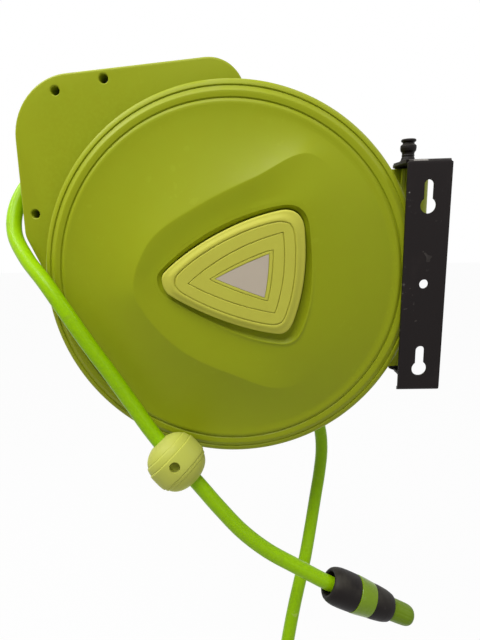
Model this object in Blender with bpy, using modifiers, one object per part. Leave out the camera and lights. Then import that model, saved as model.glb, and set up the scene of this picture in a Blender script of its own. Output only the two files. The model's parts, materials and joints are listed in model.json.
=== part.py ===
"""A retractable hose reel that swings on a wall bracket.

Metres, +Z up. The world origin is the mount: a point on the wall face of the bracket's plate,
whose outward normal is -Y. Reel sizes are measured from the drum's centre, which REEL_AT
places in the world: +X runs to the pivot, and a depth is a distance to the front, which is -Y.
"""
import math

import bmesh
import bpy
from mathutils import Matrix, Vector
from mathutils.geometry import interpolate_bezier

GAP = 0.0003

# Housing, its depths measured from the seam
DISC_R = 0.200
RIM_OVERHANG = 0.012
WALL_R = DISC_R - RIM_OVERHANG
SHELL_T = 0.003
RIM_FACE = 0.0725
RIM_THICK = 0.0125
RIM_BACK = RIM_FACE - RIM_THICK
CREST = RIM_FACE + 0.0160
CAP_FLOOR = RIM_FACE + 0.0080
CAP_FACE = RIM_FACE + 0.0245
CAVITY_DEPTH = CAP_FLOOR - SHELL_T
BOX_DEPTH = RIM_BACK - 0.008
BOX_LEFT = -(DISC_R + 0.024)
BOX_TOP = DISC_R + 0.028
BOX_SLOPE = 0.016
BOX_CORNER_R = 0.066
BOX_SCREWS = ((BOX_LEFT + 0.0490, BOX_TOP - 0.0304), (BOX_LEFT + 0.1004, BOX_TOP - 0.0207),
              (BOX_LEFT + 0.0138, 0.0743))
SCREW_R = 0.0020
SCREW_HEAD_R = 0.0040
SCREW_RECESS_R = SCREW_HEAD_R + 0.0007
BOSS_R = SCREW_RECESS_R + 0.0018
FACE_STEPS = 48

# Wall bracket
PLATE_WIDTH = 0.044
PLATE_THICK = 0.003
PLATE_TOP = 0.1175
PLATE_BOTTOM = -0.1245
PLATE_DEPTH = RIM_FACE + 0.0055
BEND_RADIUS = 0.0045
EAR_END_R = 0.016
EAR_STRAIGHT_TO = 0.024
TONGUE_HALF = 0.0125
KEYHOLE_UPPER = 0.0723
KEYHOLE_LOWER = -0.0997
KEYHOLE_R = 0.008
KEYHOLE_SLOT = 0.0095
KEYHOLE_SLOT_LENGTH = 0.0205
CENTRE_HOLE_Z = -0.0075
CENTRE_HOLE_R = 0.0048
MOUNT_UP = 0.030

# Pivot, its rod parallel to the side wall
PIVOT_X = WALL_R + 0.0145
ROD_R = 0.005
ROD_BELOW = 0.006
BUSH_R = ROD_R + 0.003
BUSH_SLEEVE = 0.020
BUSH_FLANGE = 0.0019
BUSH_SPACER = 0.0129
KNOB_HEIGHT = 0.0275
LUG_TOP = PLATE_TOP - PLATE_THICK - BUSH_FLANGE - 2 * GAP
LUG_BOTTOM = PLATE_BOTTOM + PLATE_THICK + BUSH_SPACER + 2 * GAP
LUG_EYE_R = BUSH_R + 0.009
KNUCKLE_R = BUSH_R + 0.015
KNUCKLE_FROM = 0.060
LUG_SCREWS = ((PIVOT_X - 0.0215, LUG_TOP - 0.020), (PIVOT_X - 0.0215, LUG_BOTTOM + 0.018))

# Hoses
HOSE_R = 0.00825
STEP = 2.2 * 2 * HOSE_R
BALL_R = 0.031
COIL_R = 0.093
COIL_TURNS = 2.5
COIL_PITCH = 2 * HOSE_R + 0.0005
COIL_END_OUT = 0.012
COIL_POINTS = 24
COIL_CENTRE = (-0.043, -0.082, -0.601)

# Outlet cage and rollers, which clear the hose where it passes them
ROLLER_R = 0.006
SIDE_ROLLER_R = 0.0055
GUIDE_PIN_R = 0.002
HOSE_LOWEST = 0.13105
HOSE_HIGHEST = 0.13475
HOSE_SIDEWAYS = 0.01025
CROSS_ROLLER_X = BOX_LEFT + 0.021
SIDE_ROLLER_X = BOX_LEFT + 0.007
LOWER_ROLLER_Z = HOSE_LOWEST - HOSE_R - ROLLER_R
UPPER_ROLLER_Z = HOSE_HIGHEST + HOSE_R + ROLLER_R
SIDE_ROLLER_OUT = HOSE_SIDEWAYS + HOSE_R + SIDE_ROLLER_R
CAGE_WALL = 0.0062
LIP_PROUD = 0.0028
CAGE_LONG = 0.028
CAGE_LOW = LOWER_ROLLER_Z - ROLLER_R - 0.0136 - CAGE_WALL
CAGE_HIGH = UPPER_ROLLER_Z + ROLLER_R + 0.0018 + CAGE_WALL
CAGE_HALF = SIDE_ROLLER_OUT + SIDE_ROLLER_R + 0.0013 + CAGE_WALL

# Water inlet behind the drum, its gland just inside the rim
GLAND_HOLE_R = HOSE_R + 0.00325
GLAND_FLANGE_R = GLAND_HOLE_R + 0.0011
INLET_DEPTH = -(RIM_BACK - GLAND_FLANGE_R - 0.0009)
INLET_ANGLE = math.radians(-62)

# Drum, its depths measured to the front
CORE_R = 0.054
CORE_T = 0.0035
FLANGE_R = WALL_R - 0.026
FLANGE_T = 0.003
WIND_FRONT = RIM_FACE - 0.0155
WIND_BACK = INLET_DEPTH + GLAND_FLANGE_R + 0.0029
DRUM_FRONT = WIND_FRONT + FLANGE_T
DRUM_BACK = WIND_BACK - FLANGE_T
WEB_FRONT = 0.010
WEB_BACK = 0.007
HUB_BORE = 0.0112
HUB_R = HUB_BORE + 0.0048
SPIGOT_R = HUB_BORE - 0.0004
ARBOR_R = 0.009
JOURNAL_R = 0.006
SPRING_TURNS = 6
SPRING_T = 0.0012
RATCHET_ROOT = CORE_R + 0.012
RATCHET_R = RATCHET_ROOT + 0.008
RATCHET_TEETH = 12
RATCHET_T = 0.005
PAWL_AT = (-0.1041, 0.0, -0.0354)
PAWL_REACH = math.hypot(*PAWL_AT) - RATCHET_ROOT - 0.00195
PAWL_REST = math.radians(-29)
PAWL_PIN_R = 0.0025
PAWL_T = 0.0042
PAWL_LOW = DRUM_FRONT + 0.0008
PAWL_BOSS_FACE = PAWL_LOW + PAWL_T + 0.0040
DRUM_STEPS = 32

REEL_AT = Vector((-PIVOT_X, PLATE_DEPTH, -MOUNT_UP))
FRONT = Vector((0, -1, 0))
UP = Vector((0, 0, 1))

# The leader's route from the winding's top through the outlet to the nozzle, chosen by hand
RUN_ROUTE = (
    (-0.002, 0.0045, 0.1400), (-0.060, 0.004, 0.1400), (-0.120, 0.002, 0.1400),
    (-0.165, 0.000, 0.1393), (-0.200, -0.001, 0.1330))
OUTLET = (-0.226, -0.009, 0.1155)
LEADER_ROUTE = (
    (-0.2415, -0.025, 0.0860), (-0.2395, -0.0445, 0.0550), (-0.220, -0.0655, 0.0285),
    (-0.194, -0.084, 0.0030), (-0.171, -0.0925, -0.029), (-0.151, -0.094, -0.062),
    (-0.131, -0.094, -0.094), (-0.111, -0.0945, -0.127), (-0.0905, -0.0975, -0.159),
    (-0.067, -0.103, -0.1885), (-0.042, -0.108, -0.2145), (-0.017, -0.113, -0.244),
    (0.008, -0.116, -0.272), (0.036, -0.1155, -0.297), (0.068, -0.1145, -0.318),
    (0.103, -0.114, -0.3396))
NOZZLE_AXIS = Vector((0.875, 0.072, -0.478)).normalized()
HOSE_IN_NOZZLE = 0.022
WATERWAY_R = 0.0030
TIP_NECK_R = 0.0080
BALL_ALONG = 0.393

# The inlet hose's route from its grommet to its coil, chosen by hand
INLET_ROUTE = (
    (0.1055, 0.045, -0.2040), (0.1125, 0.043, -0.230), (0.114, 0.0395, -0.258),
    (0.1105, 0.034, -0.288), (0.1045, 0.025, -0.318), (0.096, 0.009, -0.356),
    (0.087, -0.012, -0.386), (0.079, -0.028, -0.408), (0.070, -0.045, -0.433),
    (0.061, -0.062, -0.465), (0.054, -0.074, -0.500), (0.0507, -0.0795, -0.530),
    (0.0500, -0.0818, -0.558))

# The cap's outline as Bezier knots: place, heading, handle back, handle on
CAP_KNOTS = (
    ((-0.0660, 0.0120), (0.72, 0.69), 0.008, 0.040),
    ((0.0540, 0.0715), (0.99, 0.16), 0.040, 0.014),
    ((0.0778, 0.0520), (0.08, -1.0), 0.014, 0.030),
    ((0.0690, -0.0340), (-0.30, -0.95), 0.030, 0.013),
    ((0.0480, -0.0545), (-0.99, 0.14), 0.013, 0.036),
    ((-0.0610, -0.0120), (-0.84, 0.54), 0.036, 0.008))
CAP_CENTRE = (0.016, 0.006)
# The edge of the raised plateau around the cap, through which a smooth closed curve runs
PLATEAU_KNOTS = (
    (0.090, 0.134), (0.029, 0.109), (-0.027, 0.080), (-0.076, 0.048), (-0.099, 0.0045),
    (-0.092, -0.028), (-0.056, -0.068), (-0.004, -0.094), (0.070, -0.108), (0.130, -0.060),
    (0.148, 0.010), (0.135, 0.088))
CREASE_FROM = math.radians(62)
CREASE_TO = math.radians(246)
CREASE_FADE = math.radians(26)


# Collections, materials and placing

def clear_scene():
    for existing in list(bpy.data.objects):
        bpy.data.objects.remove(existing, do_unlink=True)


def new_collection(name):
    collection = bpy.data.collections.new(name)
    bpy.context.scene.collection.children.link(collection)
    return collection


def plastic(name, colour, roughness, metallic=0.0):
    material = bpy.data.materials.new(name)
    material.use_nodes = True
    shader = material.node_tree.nodes["Principled BSDF"]
    shader.inputs["Base Color"].default_value = (*colour, 1)
    shader.inputs["Roughness"].default_value = roughness
    shader.inputs["Metallic"].default_value = metallic
    return material


clear_scene()
PARTS = new_collection("retractable_hose_reel")
CUTTERS = new_collection("cutters")

HOUSING_GREEN = ("housing_green", (0.30, 0.36, 0.03), 0.45)
HOSE_GREEN = ("hose_green", (0.28, 0.58, 0.01), 0.22)
PALE_GREEN = ("pale_green", (0.60, 0.66, 0.13), 0.55)
LABEL_GREY = ("label_grey", (0.62, 0.56, 0.48), 0.50)
BRACKET_BLACK = ("bracket_black", (0.030, 0.024, 0.023), 0.55)
MOULDED_BLACK = ("moulded_black", (0.020, 0.018, 0.018), 0.50)
STEEL = ("steel", (0.56, 0.57, 0.58), 0.30, 1.0)
DRUM_GREY = ("drum_grey", (0.13, 0.13, 0.13), 0.55)
RUBBER = ("rubber", (0.015, 0.015, 0.015), 0.70)
BRASS = ("brass", (0.60, 0.42, 0.16), 0.35, 1.0)


def new_frame(name, at, parent=None):
    """An empty that carries the pieces of one body; at is measured from the drum's centre."""
    empty = bpy.data.objects.new(name, None)
    PARTS.objects.link(empty)
    origin = Vector(at) + REEL_AT
    empty["origin"] = tuple(at)
    if parent:
        empty.parent = parent
        origin -= Vector(parent["origin"]) + REEL_AT
    empty.location = origin
    return empty


CUTTER_FRAME = bpy.data.objects.new("cutter_frame", None)
CUTTERS.objects.link(CUTTER_FRAME)
CUTTER_FRAME.location = REEL_AT


def seat(piece, frame, finish):
    """Hang a piece, made in reel coordinates, on its body's empty and give it its finish."""
    piece.parent = frame
    piece.location -= Vector(frame["origin"])
    piece.data.materials.clear()
    piece.data.materials.append(plastic(piece.name + "_finish", *finish[1:]))
    return piece


def link(name, data, collection):
    piece = bpy.data.objects.new(name, data)
    collection.objects.link(piece)
    if collection is CUTTERS:
        piece.parent = CUTTER_FRAME
        piece.hide_render = True
        piece.display_type = "WIRE"
    return piece


def shade(piece, angle=35):
    piece.data.shade_smooth()
    piece.data.set_sharp_from_angle(angle=math.radians(angle))
    return piece


def facing(direction):
    """The turn that takes +Z to a direction."""
    return Vector(direction).to_track_quat("Z", "Y").to_matrix().to_4x4()


# Outlines, all lists of (x, y) pairs that run anticlockwise

def arc(centre, radius, start, end, steps):
    """Points on an arc between two angles in degrees, both ends included."""
    angles = [math.radians(start + (end - start) * i / steps) for i in range(steps + 1)]
    return [(centre[0] + radius * math.cos(a), centre[1] + radius * math.sin(a)) for a in angles]


def rounded(corners, steps=4):
    """A polygon given as (x, y, radius) corners, with each corner turned into an arc."""
    outline = []
    for i, (x, y, radius) in enumerate(corners):
        corner = Vector((x, y))
        before = (Vector(corners[i - 1][:2]) - corner).normalized()
        after = (Vector(corners[(i + 1) % len(corners)][:2]) - corner).normalized()
        if radius == 0:
            outline.append((x, y))
            continue
        half = before.angle(after) / 2
        middle = corner + (before + after).normalized() * (radius / math.sin(half))
        first = corner + before * (radius / math.tan(half)) - middle
        last = corner + after * (radius / math.tan(half)) - middle
        for step in range(steps + 1):
            spoke = first.lerp(last, step / steps).normalized() * radius
            outline.append(tuple(middle + spoke))
    return outline


def offset(outline, distance):
    """The outline moved outwards by a distance, or inwards by a negative one."""
    moved = []
    for i, point in enumerate(outline):
        here = Vector(point)
        back = (here - Vector(outline[i - 1])).normalized()
        on = (Vector(outline[(i + 1) % len(outline)]) - here).normalized()
        normals = Vector((back.y, -back.x)), Vector((on.y, -on.x))
        middle = (normals[0] + normals[1]).normalized()
        moved.append(tuple(here + middle * (distance / max(middle.dot(normals[0]), 0.5))))
    return moved


def scaled(outline, centre, factor):
    return [(centre[0] + (x - centre[0]) * factor, centre[1] + (y - centre[1]) * factor)
            for x, y in outline]


def cap_outline(side_points=11, corner_points=4):
    """The cap's bulging rounded triangle, clockwise knots read back anticlockwise."""
    outline = []
    for i, (place, heading, back, on) in enumerate(CAP_KNOTS):
        following = CAP_KNOTS[(i + 1) % len(CAP_KNOTS)]
        start = Vector((*place, 0))
        end = Vector((*following[0], 0))
        handle_start = start + Vector((*heading, 0)).normalized() * on
        handle_end = end - Vector((*following[1], 0)).normalized() * following[2]
        count = side_points if i % 2 == 0 else corner_points
        run = interpolate_bezier(start, handle_start, handle_end, end, count + 1)
        outline += [tuple(point.xy) for point in run[:-1]]
    return outline[::-1]


def smooth_points(knots, steps, closed=False):
    """Points on a smooth curve through knots of two or three coordinates."""
    knots = [Vector(knot) for knot in knots]
    count = len(knots)
    last = count if closed else count - 1
    points = []
    for i in range(last):
        before, start = knots[i - 1], knots[i]
        end, after = knots[(i + 1) % count], knots[(i + 2) % count]
        if not closed and i == 0:
            before = start * 2 - end
        if not closed and i == last - 1:
            after = end * 2 - start
        for step in range(steps):
            t = step / steps
            points.append(0.5 * (2 * start + (end - before) * t
                                 + (2 * before - 5 * start + 4 * end - after) * t ** 2
                                 + (3 * start - before - 3 * end + after) * t ** 3))
    if not closed:
        points.append(knots[-1])
    return points


# Solids

def loft(name, rings, collection=CUTTERS):
    """One closed solid through rings of equally many (x, y, z) points, with flat ends."""
    shape = bmesh.new()
    loops = [[shape.verts.new(point) for point in ring] for ring in rings]
    count = len(loops[0])
    for lower, upper in zip(loops, loops[1:]):
        for i in range(count):
            after = (i + 1) % count
            shape.faces.new((lower[i], lower[after], upper[after], upper[i]))
    shape.faces.new(loops[0])
    shape.faces.new(loops[-1][::-1])
    bmesh.ops.recalc_face_normals(shape, faces=shape.faces)
    mesh = bpy.data.meshes.new(name)
    shape.to_mesh(mesh)
    shape.free()
    return shade(link(name, mesh, collection))


def turned(name, profile, steps, at=(0, 0, 0), axis=FRONT, collection=PARTS, closed=True):
    """A turned solid. Its profile of (radius, height) pairs runs down the outer side."""
    shape = bmesh.new()
    points = [shape.verts.new((radius, 0, height)) for radius, height in profile]
    for start, end in zip(points, points[1:]):
        shape.edges.new((start, end))
    if closed:
        shape.edges.new((points[-1], points[0]))
    mesh = bpy.data.meshes.new(name)
    shape.to_mesh(mesh)
    shape.free()
    piece = link(name, mesh, collection)
    piece.matrix_basis = Matrix.Translation(at) @ facing(axis)
    screw = piece.modifiers.new("turn", "SCREW")
    screw.steps = steps
    screw.render_steps = steps
    screw.use_merge_vertices = True
    screw.merge_threshold = 0.00001
    screw.use_smooth_shade = True
    return piece


def rod(name, radius, start, end, collection=CUTTERS, sides=16):
    """A plain cylinder between two points."""
    start, end = Vector(start), Vector(end)
    shape = bmesh.new()
    bmesh.ops.create_cone(shape, cap_ends=True, segments=sides, radius1=radius,
                          radius2=radius, depth=(end - start).length)
    mesh = bpy.data.meshes.new(name)
    shape.to_mesh(mesh)
    shape.free()
    piece = shade(link(name, mesh, collection))
    piece.matrix_basis = Matrix.Translation((start + end) / 2) @ facing(end - start)
    return piece


def block(name, low, high, collection=CUTTERS):
    """A box between two corners."""
    low, high = Vector(low), Vector(high)
    shape = bmesh.new()
    bmesh.ops.create_cube(shape, size=1)
    bmesh.ops.scale(shape, verts=shape.verts, vec=high - low)
    bmesh.ops.translate(shape, verts=shape.verts, vec=(low + high) / 2)
    mesh = bpy.data.meshes.new(name)
    shape.to_mesh(mesh)
    shape.free()
    return link(name, mesh, collection)


def solid_from_curve(curve_piece, collection):
    """A mesh object made from a curve object, its loose caps welded on."""
    name = curve_piece.name
    bpy.context.view_layer.update()
    evaluated = curve_piece.evaluated_get(bpy.context.evaluated_depsgraph_get())
    mesh = bpy.data.meshes.new_from_object(evaluated)
    matrix = curve_piece.matrix_basis.copy()
    bpy.data.objects.remove(curve_piece, do_unlink=True)
    shape = bmesh.new()
    shape.from_mesh(mesh)
    bmesh.ops.remove_doubles(shape, verts=shape.verts, dist=0.000001)
    bmesh.ops.recalc_face_normals(shape, faces=shape.faces)
    shape.to_mesh(mesh)
    shape.free()
    piece = link(name, mesh, collection)
    piece.matrix_basis = matrix
    return shade(piece)


def prism(name, loops, low, high, axis=UP, collection=CUTTERS):
    """Flat outlines pushed from one height to another along an axis.

    Outlines on UP are (x, y) pairs, and on FRONT they are (x, z) pairs.
    """
    curve = bpy.data.curves.new(name, "CURVE")
    curve.dimensions = "2D"
    curve.fill_mode = "BOTH"
    curve.extrude = (high - low) / 2
    for loop in loops:
        spline = curve.splines.new("POLY")
        spline.points.add(len(loop) - 1)
        for point, place in zip(spline.points, loop):
            point.co = (*place, 0, 1)
        spline.use_cyclic_u = True
    piece = link(name, curve, collection)
    turn = Matrix.Rotation(math.pi / 2, 4, "X") if axis is FRONT else Matrix.Identity(4)
    piece.matrix_basis = Matrix.Translation(axis * (low + high) / 2) @ turn
    return solid_from_curve(piece, collection)


def tube(name, points, radius, sides_level=2, collection=PARTS):
    """A round tube along points, as a curve with filled caps."""
    curve = bpy.data.curves.new(name, "CURVE")
    curve.dimensions = "3D"
    curve.bevel_depth = radius
    curve.bevel_resolution = sides_level
    curve.use_fill_caps = True
    spline = curve.splines.new("POLY")
    spline.points.add(len(points) - 1)
    for point, place in zip(spline.points, points):
        point.co = (*place, 1)
    return link(name, curve, collection)


def combine(piece, other, operation):
    modifier = piece.modifiers.new(other.name, "BOOLEAN")
    modifier.object = other
    modifier.operation = operation
    modifier.solver = "EXACT"


def cut(piece, *cutters):
    for cutter in cutters:
        combine(piece, cutter, "DIFFERENCE")


def add(piece, *others):
    for other in others:
        combine(piece, other, "UNION")


# Hose routes

def walk(points, spacing):
    """The same route as points at an even spacing, both ends kept."""
    lengths = [0.0]
    for start, end in zip(points, points[1:]):
        lengths.append(lengths[-1] + (end - start).length)
    count = max(2, round(lengths[-1] / spacing))
    return [at_length(points, lengths, lengths[-1] * i / count) for i in range(count + 1)]


def at_length(points, lengths, distance):
    for i in range(1, len(points)):
        if lengths[i] >= distance or i == len(points) - 1:
            span = lengths[i] - lengths[i - 1]
            return points[i - 1].lerp(points[i], (distance - lengths[i - 1]) / span)


def route_length(points):
    return sum((end - start).length for start, end in zip(points, points[1:]))


def square_ends(points, start_way, end_way):
    """Straighten a route's first and last diameter so that its caps meet squarely."""
    points = list(points)
    straight = 2 * HOSE_R
    middle = [p for p in points[1:-1]
              if (p - points[0]).length > straight * 1.3 and (p - points[-1]).length > straight * 1.3]
    first, last = points[0], points[-1]
    return [first, first + start_way * straight, *middle, last - end_way * straight, last]


def leader_routes():
    """The hose inside the housing and the free leader, parted by a gap at the outlet."""
    outlet = Vector(OUTLET)
    way = (Vector(LEADER_ROUTE[0]) - Vector(RUN_ROUTE[-1])).normalized()
    end = Vector(LEADER_ROUTE[-1]) + NOZZLE_AXIS * HOSE_IN_NOZZLE
    knots = [*RUN_ROUTE, OUTLET, *LEADER_ROUTE, end]
    smooth = smooth_points(knots, 12)
    parting = len(RUN_ROUTE) * 12
    inside = walk(smooth[:parting + 1], STEP)
    outside = walk(smooth[parting:], STEP)
    inside[-1] = outlet - way * GAP / 2
    outside[0] = outlet + way * GAP / 2
    inside = square_ends(inside, Vector((-1, 0, 0)), way)
    outside = square_ends(outside, way, NOZZLE_AXIS)
    return inside, outside


def inlet_way():
    return Vector((math.cos(INLET_ANGLE), 0, math.sin(INLET_ANGLE)))


def inlet_point(radius):
    """A point on the inlet's radial line, at a distance from the drum's axis."""
    return inlet_way() * radius + Vector((0, -INLET_DEPTH, 0))


def coil_points():
    """The coil's unbroken turns, which go down its right side and step back a pitch a turn."""
    centre = Vector(COIL_CENTRE)
    count = round(COIL_TURNS * COIL_POINTS)
    turns = [COIL_TURNS * i / count for i in range(count + 1)]
    points = []
    for turn in turns:
        angle = 2 * math.pi * turn
        last = max(0, turn - COIL_TURNS + 0.5) / 0.5
        back = COIL_PITCH * turn + COIL_END_OUT * last * last * (3 - 2 * last)
        points.append(centre + Vector((COIL_R * math.cos(angle), back, -COIL_R * math.sin(angle))))
    return points


def inlet_routes():
    """The free inlet hose and its coil, each end straight for one diameter."""
    straight = 2 * HOSE_R
    turns = coil_points()
    entry = turns[0] + UP * straight
    coil = [entry, *turns, turns[-1] + UP * straight]
    start = inlet_point(WALL_R + 0.0045)
    knots = [start, start + inlet_way() * 0.016, *INLET_ROUTE, entry + UP * GAP]
    free = walk(smooth_points(knots, 12), STEP)
    return square_ends(free, inlet_way(), -UP), coil


def least_gap_in_coil(coil):
    """The least clear distance between parts of the coil that are more than a quarter turn apart."""
    apart = COIL_POINTS // 4
    least = min((coil[i] - coil[j]).length for i in range(len(coil))
                for j in range(i + apart, len(coil)))
    return least - 2 * HOSE_R


# Wall bracket and pivot

def keyhole(name, round_z):
    """A keyhole cutter: round part below, slot above."""
    slot = KEYHOLE_SLOT / 2
    where = math.degrees(math.acos(slot / KEYHOLE_R))
    bottom = arc((PIVOT_X, round_z), KEYHOLE_R, 180 - where, 360 + where, 13)
    top = arc((PIVOT_X, round_z + KEYHOLE_SLOT_LENGTH), slot, 0, 180, 6)
    return prism(name, [bottom + top], PLATE_DEPTH - 0.01, PLATE_DEPTH + 0.01, FRONT)


def ear_trim(name, plan, low, high):
    """What trims an ear to its plan: a slab with the plan as its hole."""
    reach = 0.06
    slab = [(PIVOT_X - reach, -PLATE_DEPTH - reach), (PIVOT_X + reach, -PLATE_DEPTH - reach),
            (PIVOT_X + reach, reach), (PIVOT_X - reach, reach)]
    plan = [(PIVOT_X + x, y) for x, y in plan]
    return prism(name, [slab, plan], low, high)


def make_bracket(root):
    half = PLATE_WIDTH / 2
    end = EAR_END_R + 0.004
    inner = BEND_RADIUS - PLATE_THICK
    section = rounded([
        (-PLATE_DEPTH, PLATE_TOP, BEND_RADIUS), (-PLATE_DEPTH, PLATE_BOTTOM, BEND_RADIUS),
        (end, PLATE_BOTTOM, 0), (end, PLATE_BOTTOM + PLATE_THICK, 0),
        (-PLATE_DEPTH + PLATE_THICK, PLATE_BOTTOM + PLATE_THICK, inner),
        (-PLATE_DEPTH + PLATE_THICK, PLATE_TOP - PLATE_THICK, inner),
        (end, PLATE_TOP - PLATE_THICK, 0), (end, PLATE_TOP, 0)])
    rings = [[(x, y, z) for y, z in section] for x in (PIVOT_X - half, PIVOT_X + half)]
    bracket = loft("wall_bracket", rings, PARTS)
    front = -PLATE_DEPTH - 0.02
    upper = ([(-half - 0.001, front), (half + 0.001, front), (half + 0.001, -EAR_STRAIGHT_TO)]
             + arc((0, 0), EAR_END_R, -10, 190, 14) + [(-half - 0.001, -EAR_STRAIGHT_TO)])
    wide_to = -PLATE_DEPTH + 0.014
    narrow_from = -PLATE_DEPTH + 0.034
    lower = ([(-half - 0.001, front), (half + 0.001, front), (half + 0.001, wide_to),
              (TONGUE_HALF, narrow_from)]
             + arc((0, 0), TONGUE_HALF, 0, 180, 12) + [(-TONGUE_HALF, narrow_from),
                                                       (-half - 0.001, wide_to)])
    cut(bracket,
        ear_trim("upper_ear_trim", upper, PLATE_TOP - 0.02, PLATE_TOP + 0.01),
        ear_trim("lower_ear_trim", lower, PLATE_BOTTOM - 0.01, PLATE_BOTTOM + 0.02),
        rod("ear_holes", ROD_R + GAP, (PIVOT_X, 0, PLATE_BOTTOM - 0.01),
            (PIVOT_X, 0, PLATE_TOP + 0.01)),
        keyhole("upper_keyhole", KEYHOLE_UPPER),
        keyhole("lower_keyhole", KEYHOLE_LOWER),
        rod("centre_hole", CENTRE_HOLE_R, (PIVOT_X, -PLATE_DEPTH - 0.01, CENTRE_HOLE_Z),
            (PIVOT_X, -PLATE_DEPTH + 0.01, CENTRE_HOLE_Z)))
    seat(bracket, root, BRACKET_BLACK)


def make_pivot_pin(pin):
    """The steel rod and the knob that is moulded on its top, drawn up and out as one."""
    foot = PLATE_TOP + GAP
    rod_top = foot + 0.018
    bar = turned("pivot_rod", [
        (0, rod_top), (ROD_R, rod_top), (ROD_R, PLATE_BOTTOM - ROD_BELOW + 0.0015),
        (ROD_R - 0.0015, PLATE_BOTTOM - ROD_BELOW), (0, PLATE_BOTTOM - ROD_BELOW)],
        16, (PIVOT_X, 0, 0), UP, closed=False)
    seat(bar, pin, STEEL)
    top = foot + KNOB_HEIGHT
    socket = ROD_R + GAP
    grip = [(0.0020, 0), (0.0032, 0.0010), (0.0032, 0.0028), (0.0013, 0.0040),
            (0.0014, 0.0052), (0.0037, 0.0072), (0.0039, 0.0100), (0.0034, 0.0130),
            (0.0020, 0.0146), (0.0016, 0.0168), (0.0022, 0.0178), (0.0016, 0.0190),
            (0.0022, 0.0205), (0.0028, 0.0228)]
    knob = turned("pivot_knob", [
        (0, top), *((ROD_R + proud, top - down) for proud, down in grip),
        (ROD_R + 0.0055, foot + 0.0016), (ROD_R + 0.0060, foot), (socket, foot),
        (socket, rod_top + GAP), (0, rod_top + GAP)],
        16, (PIVOT_X, 0, 0), UP, closed=False)
    seat(knob, pin, MOULDED_BLACK)


# Housing

def face_angles(count):
    return [2 * math.pi * i / count for i in range(count)]


def circle_ring(radius, depth, side, angles):
    """A ring on a circle about the drum's axis, its points seen from the cap's centre."""
    centre = Vector(CAP_CENTRE)
    ring = []
    for angle in angles:
        ray = Vector((math.cos(angle), math.sin(angle)))
        along = centre.dot(ray)
        reach = -along + math.sqrt(radius ** 2 - centre.length_squared + along ** 2)
        point = centre + ray * reach
        ring.append(Vector((point.x, side * depth, point.y)))
    return ring


def outline_ring(outline, depths, side, angles):
    """A ring where rays from the cap's centre cross an outline."""
    centre = Vector(CAP_CENTRE)
    polar = sorted((math.atan2(y - centre.y, x - centre.x) % (2 * math.pi),
                    (Vector((x, y)) - centre).length) for x, y in outline)
    polar = [(polar[-1][0] - 2 * math.pi, polar[-1][1]), *polar,
             (polar[0][0] + 2 * math.pi, polar[0][1])]
    ring = []
    for angle, depth in zip(angles, depths):
        for (a, ra), (b, rb) in zip(polar, polar[1:]):
            if a <= angle <= b:
                reach = ra + (rb - ra) * (angle - a) / max(b - a, 0.000001)
                break
        ring.append(Vector((centre.x + reach * math.cos(angle), side * depth,
                            centre.y + reach * math.sin(angle))))
    return ring


def crease_weight(angle):
    """One where the plateau's edge is a crease, falling to nothing where it fades."""
    def ease(t):
        t = min(1, max(0, t))
        return t * t * (3 - 2 * t)
    rise = ease((angle - CREASE_FROM + CREASE_FADE) / CREASE_FADE)
    fall = ease((CREASE_TO + CREASE_FADE - angle) / CREASE_FADE)
    return rise * fall


def face_rings(side, count):
    """Rings over one disc face, from the seam on the side wall to the floor of the cap's recess."""
    angles = face_angles(count)
    turned_rings = [
        (WALL_R, GAP / 2), (WALL_R, RIM_BACK), (DISC_R, RIM_BACK), (DISC_R, RIM_FACE - 0.0070),
        (DISC_R - 0.0015, RIM_FACE - 0.0048), (DISC_R - 0.0064, RIM_FACE - 0.0024),
        (DISC_R - 0.0070, RIM_FACE - 0.0012), (DISC_R - 0.0110, RIM_FACE - 0.0002),
        (DISC_R - 0.0182, RIM_FACE), (DISC_R - 0.0191, RIM_FACE - 0.0013),
        (DISC_R - 0.0200, RIM_FACE + 0.0002), (DISC_R - 0.0235, RIM_FACE + 0.0008)]
    rings = [circle_ring(radius, depth, side, angles) for radius, depth in turned_rings]
    rings += dome_rings(side, angles, rings[-1], 0, (0.34, 0.66, 0.88))
    outline = cap_outline()
    rings += [outline_ring(offset(outline, 0.0045), [CREST - 0.0040] * count, side, angles),
              outline_ring(offset(outline, 0.0016), [CAP_FLOOR] * count, side, angles)]
    return rings


def dome_rings(side, angles, edge, sunk, shares):
    """The dome from its edge over the plateau's crest to the lip of the cap's recess."""
    low, high = RIM_FACE + 0.0008 - sunk, CREST - sunk
    weights = [crease_weight(angle) for angle in angles]
    plateau = [tuple(p) for p in smooth_points(PLATEAU_KNOTS, 8, closed=True)]
    crest = outline_ring(plateau, [high] * len(angles), side, angles)
    rings = []
    for t in shares:
        ring = []
        for outer, inner, weight in zip(edge, crest, weights):
            climb = weight * t ** 1.8 + (1 - weight) * math.sin(t * math.pi / 2)
            point = outer.lerp(inner, t)
            point.y = side * (low + (high - low) * climb)
            ring.append(point)
        rings.append(ring)
    lip_depths = [high - 0.0018 * weight for weight in weights]
    lip_out = 0.0085 + sunk * 0.7
    lip = outline_ring(offset(cap_outline(), lip_out), lip_depths, side, angles)
    middle = [outer.lerp(inner, 0.5) for outer, inner in zip(crest, lip)]
    for point, weight in zip(middle, weights):
        point.y = side * (high - 0.0013 * weight)
    return [*rings, crest, lip] if sunk else [*rings, crest, middle, lip]


def box_outline():
    """The outlet box in the plane of the disc, its lower edge inside the drum's wall."""
    return rounded([
        (0.026, BOX_TOP, 0.033), (BOX_LEFT, BOX_TOP - BOX_SLOPE, BOX_CORNER_R), (BOX_LEFT, 0.054, 0.022),
        (BOX_LEFT + 0.034, -0.006, 0), (BOX_LEFT + 0.074, -0.010, 0),
        (0.026, WALL_R - 0.038, 0)], 6)


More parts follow.
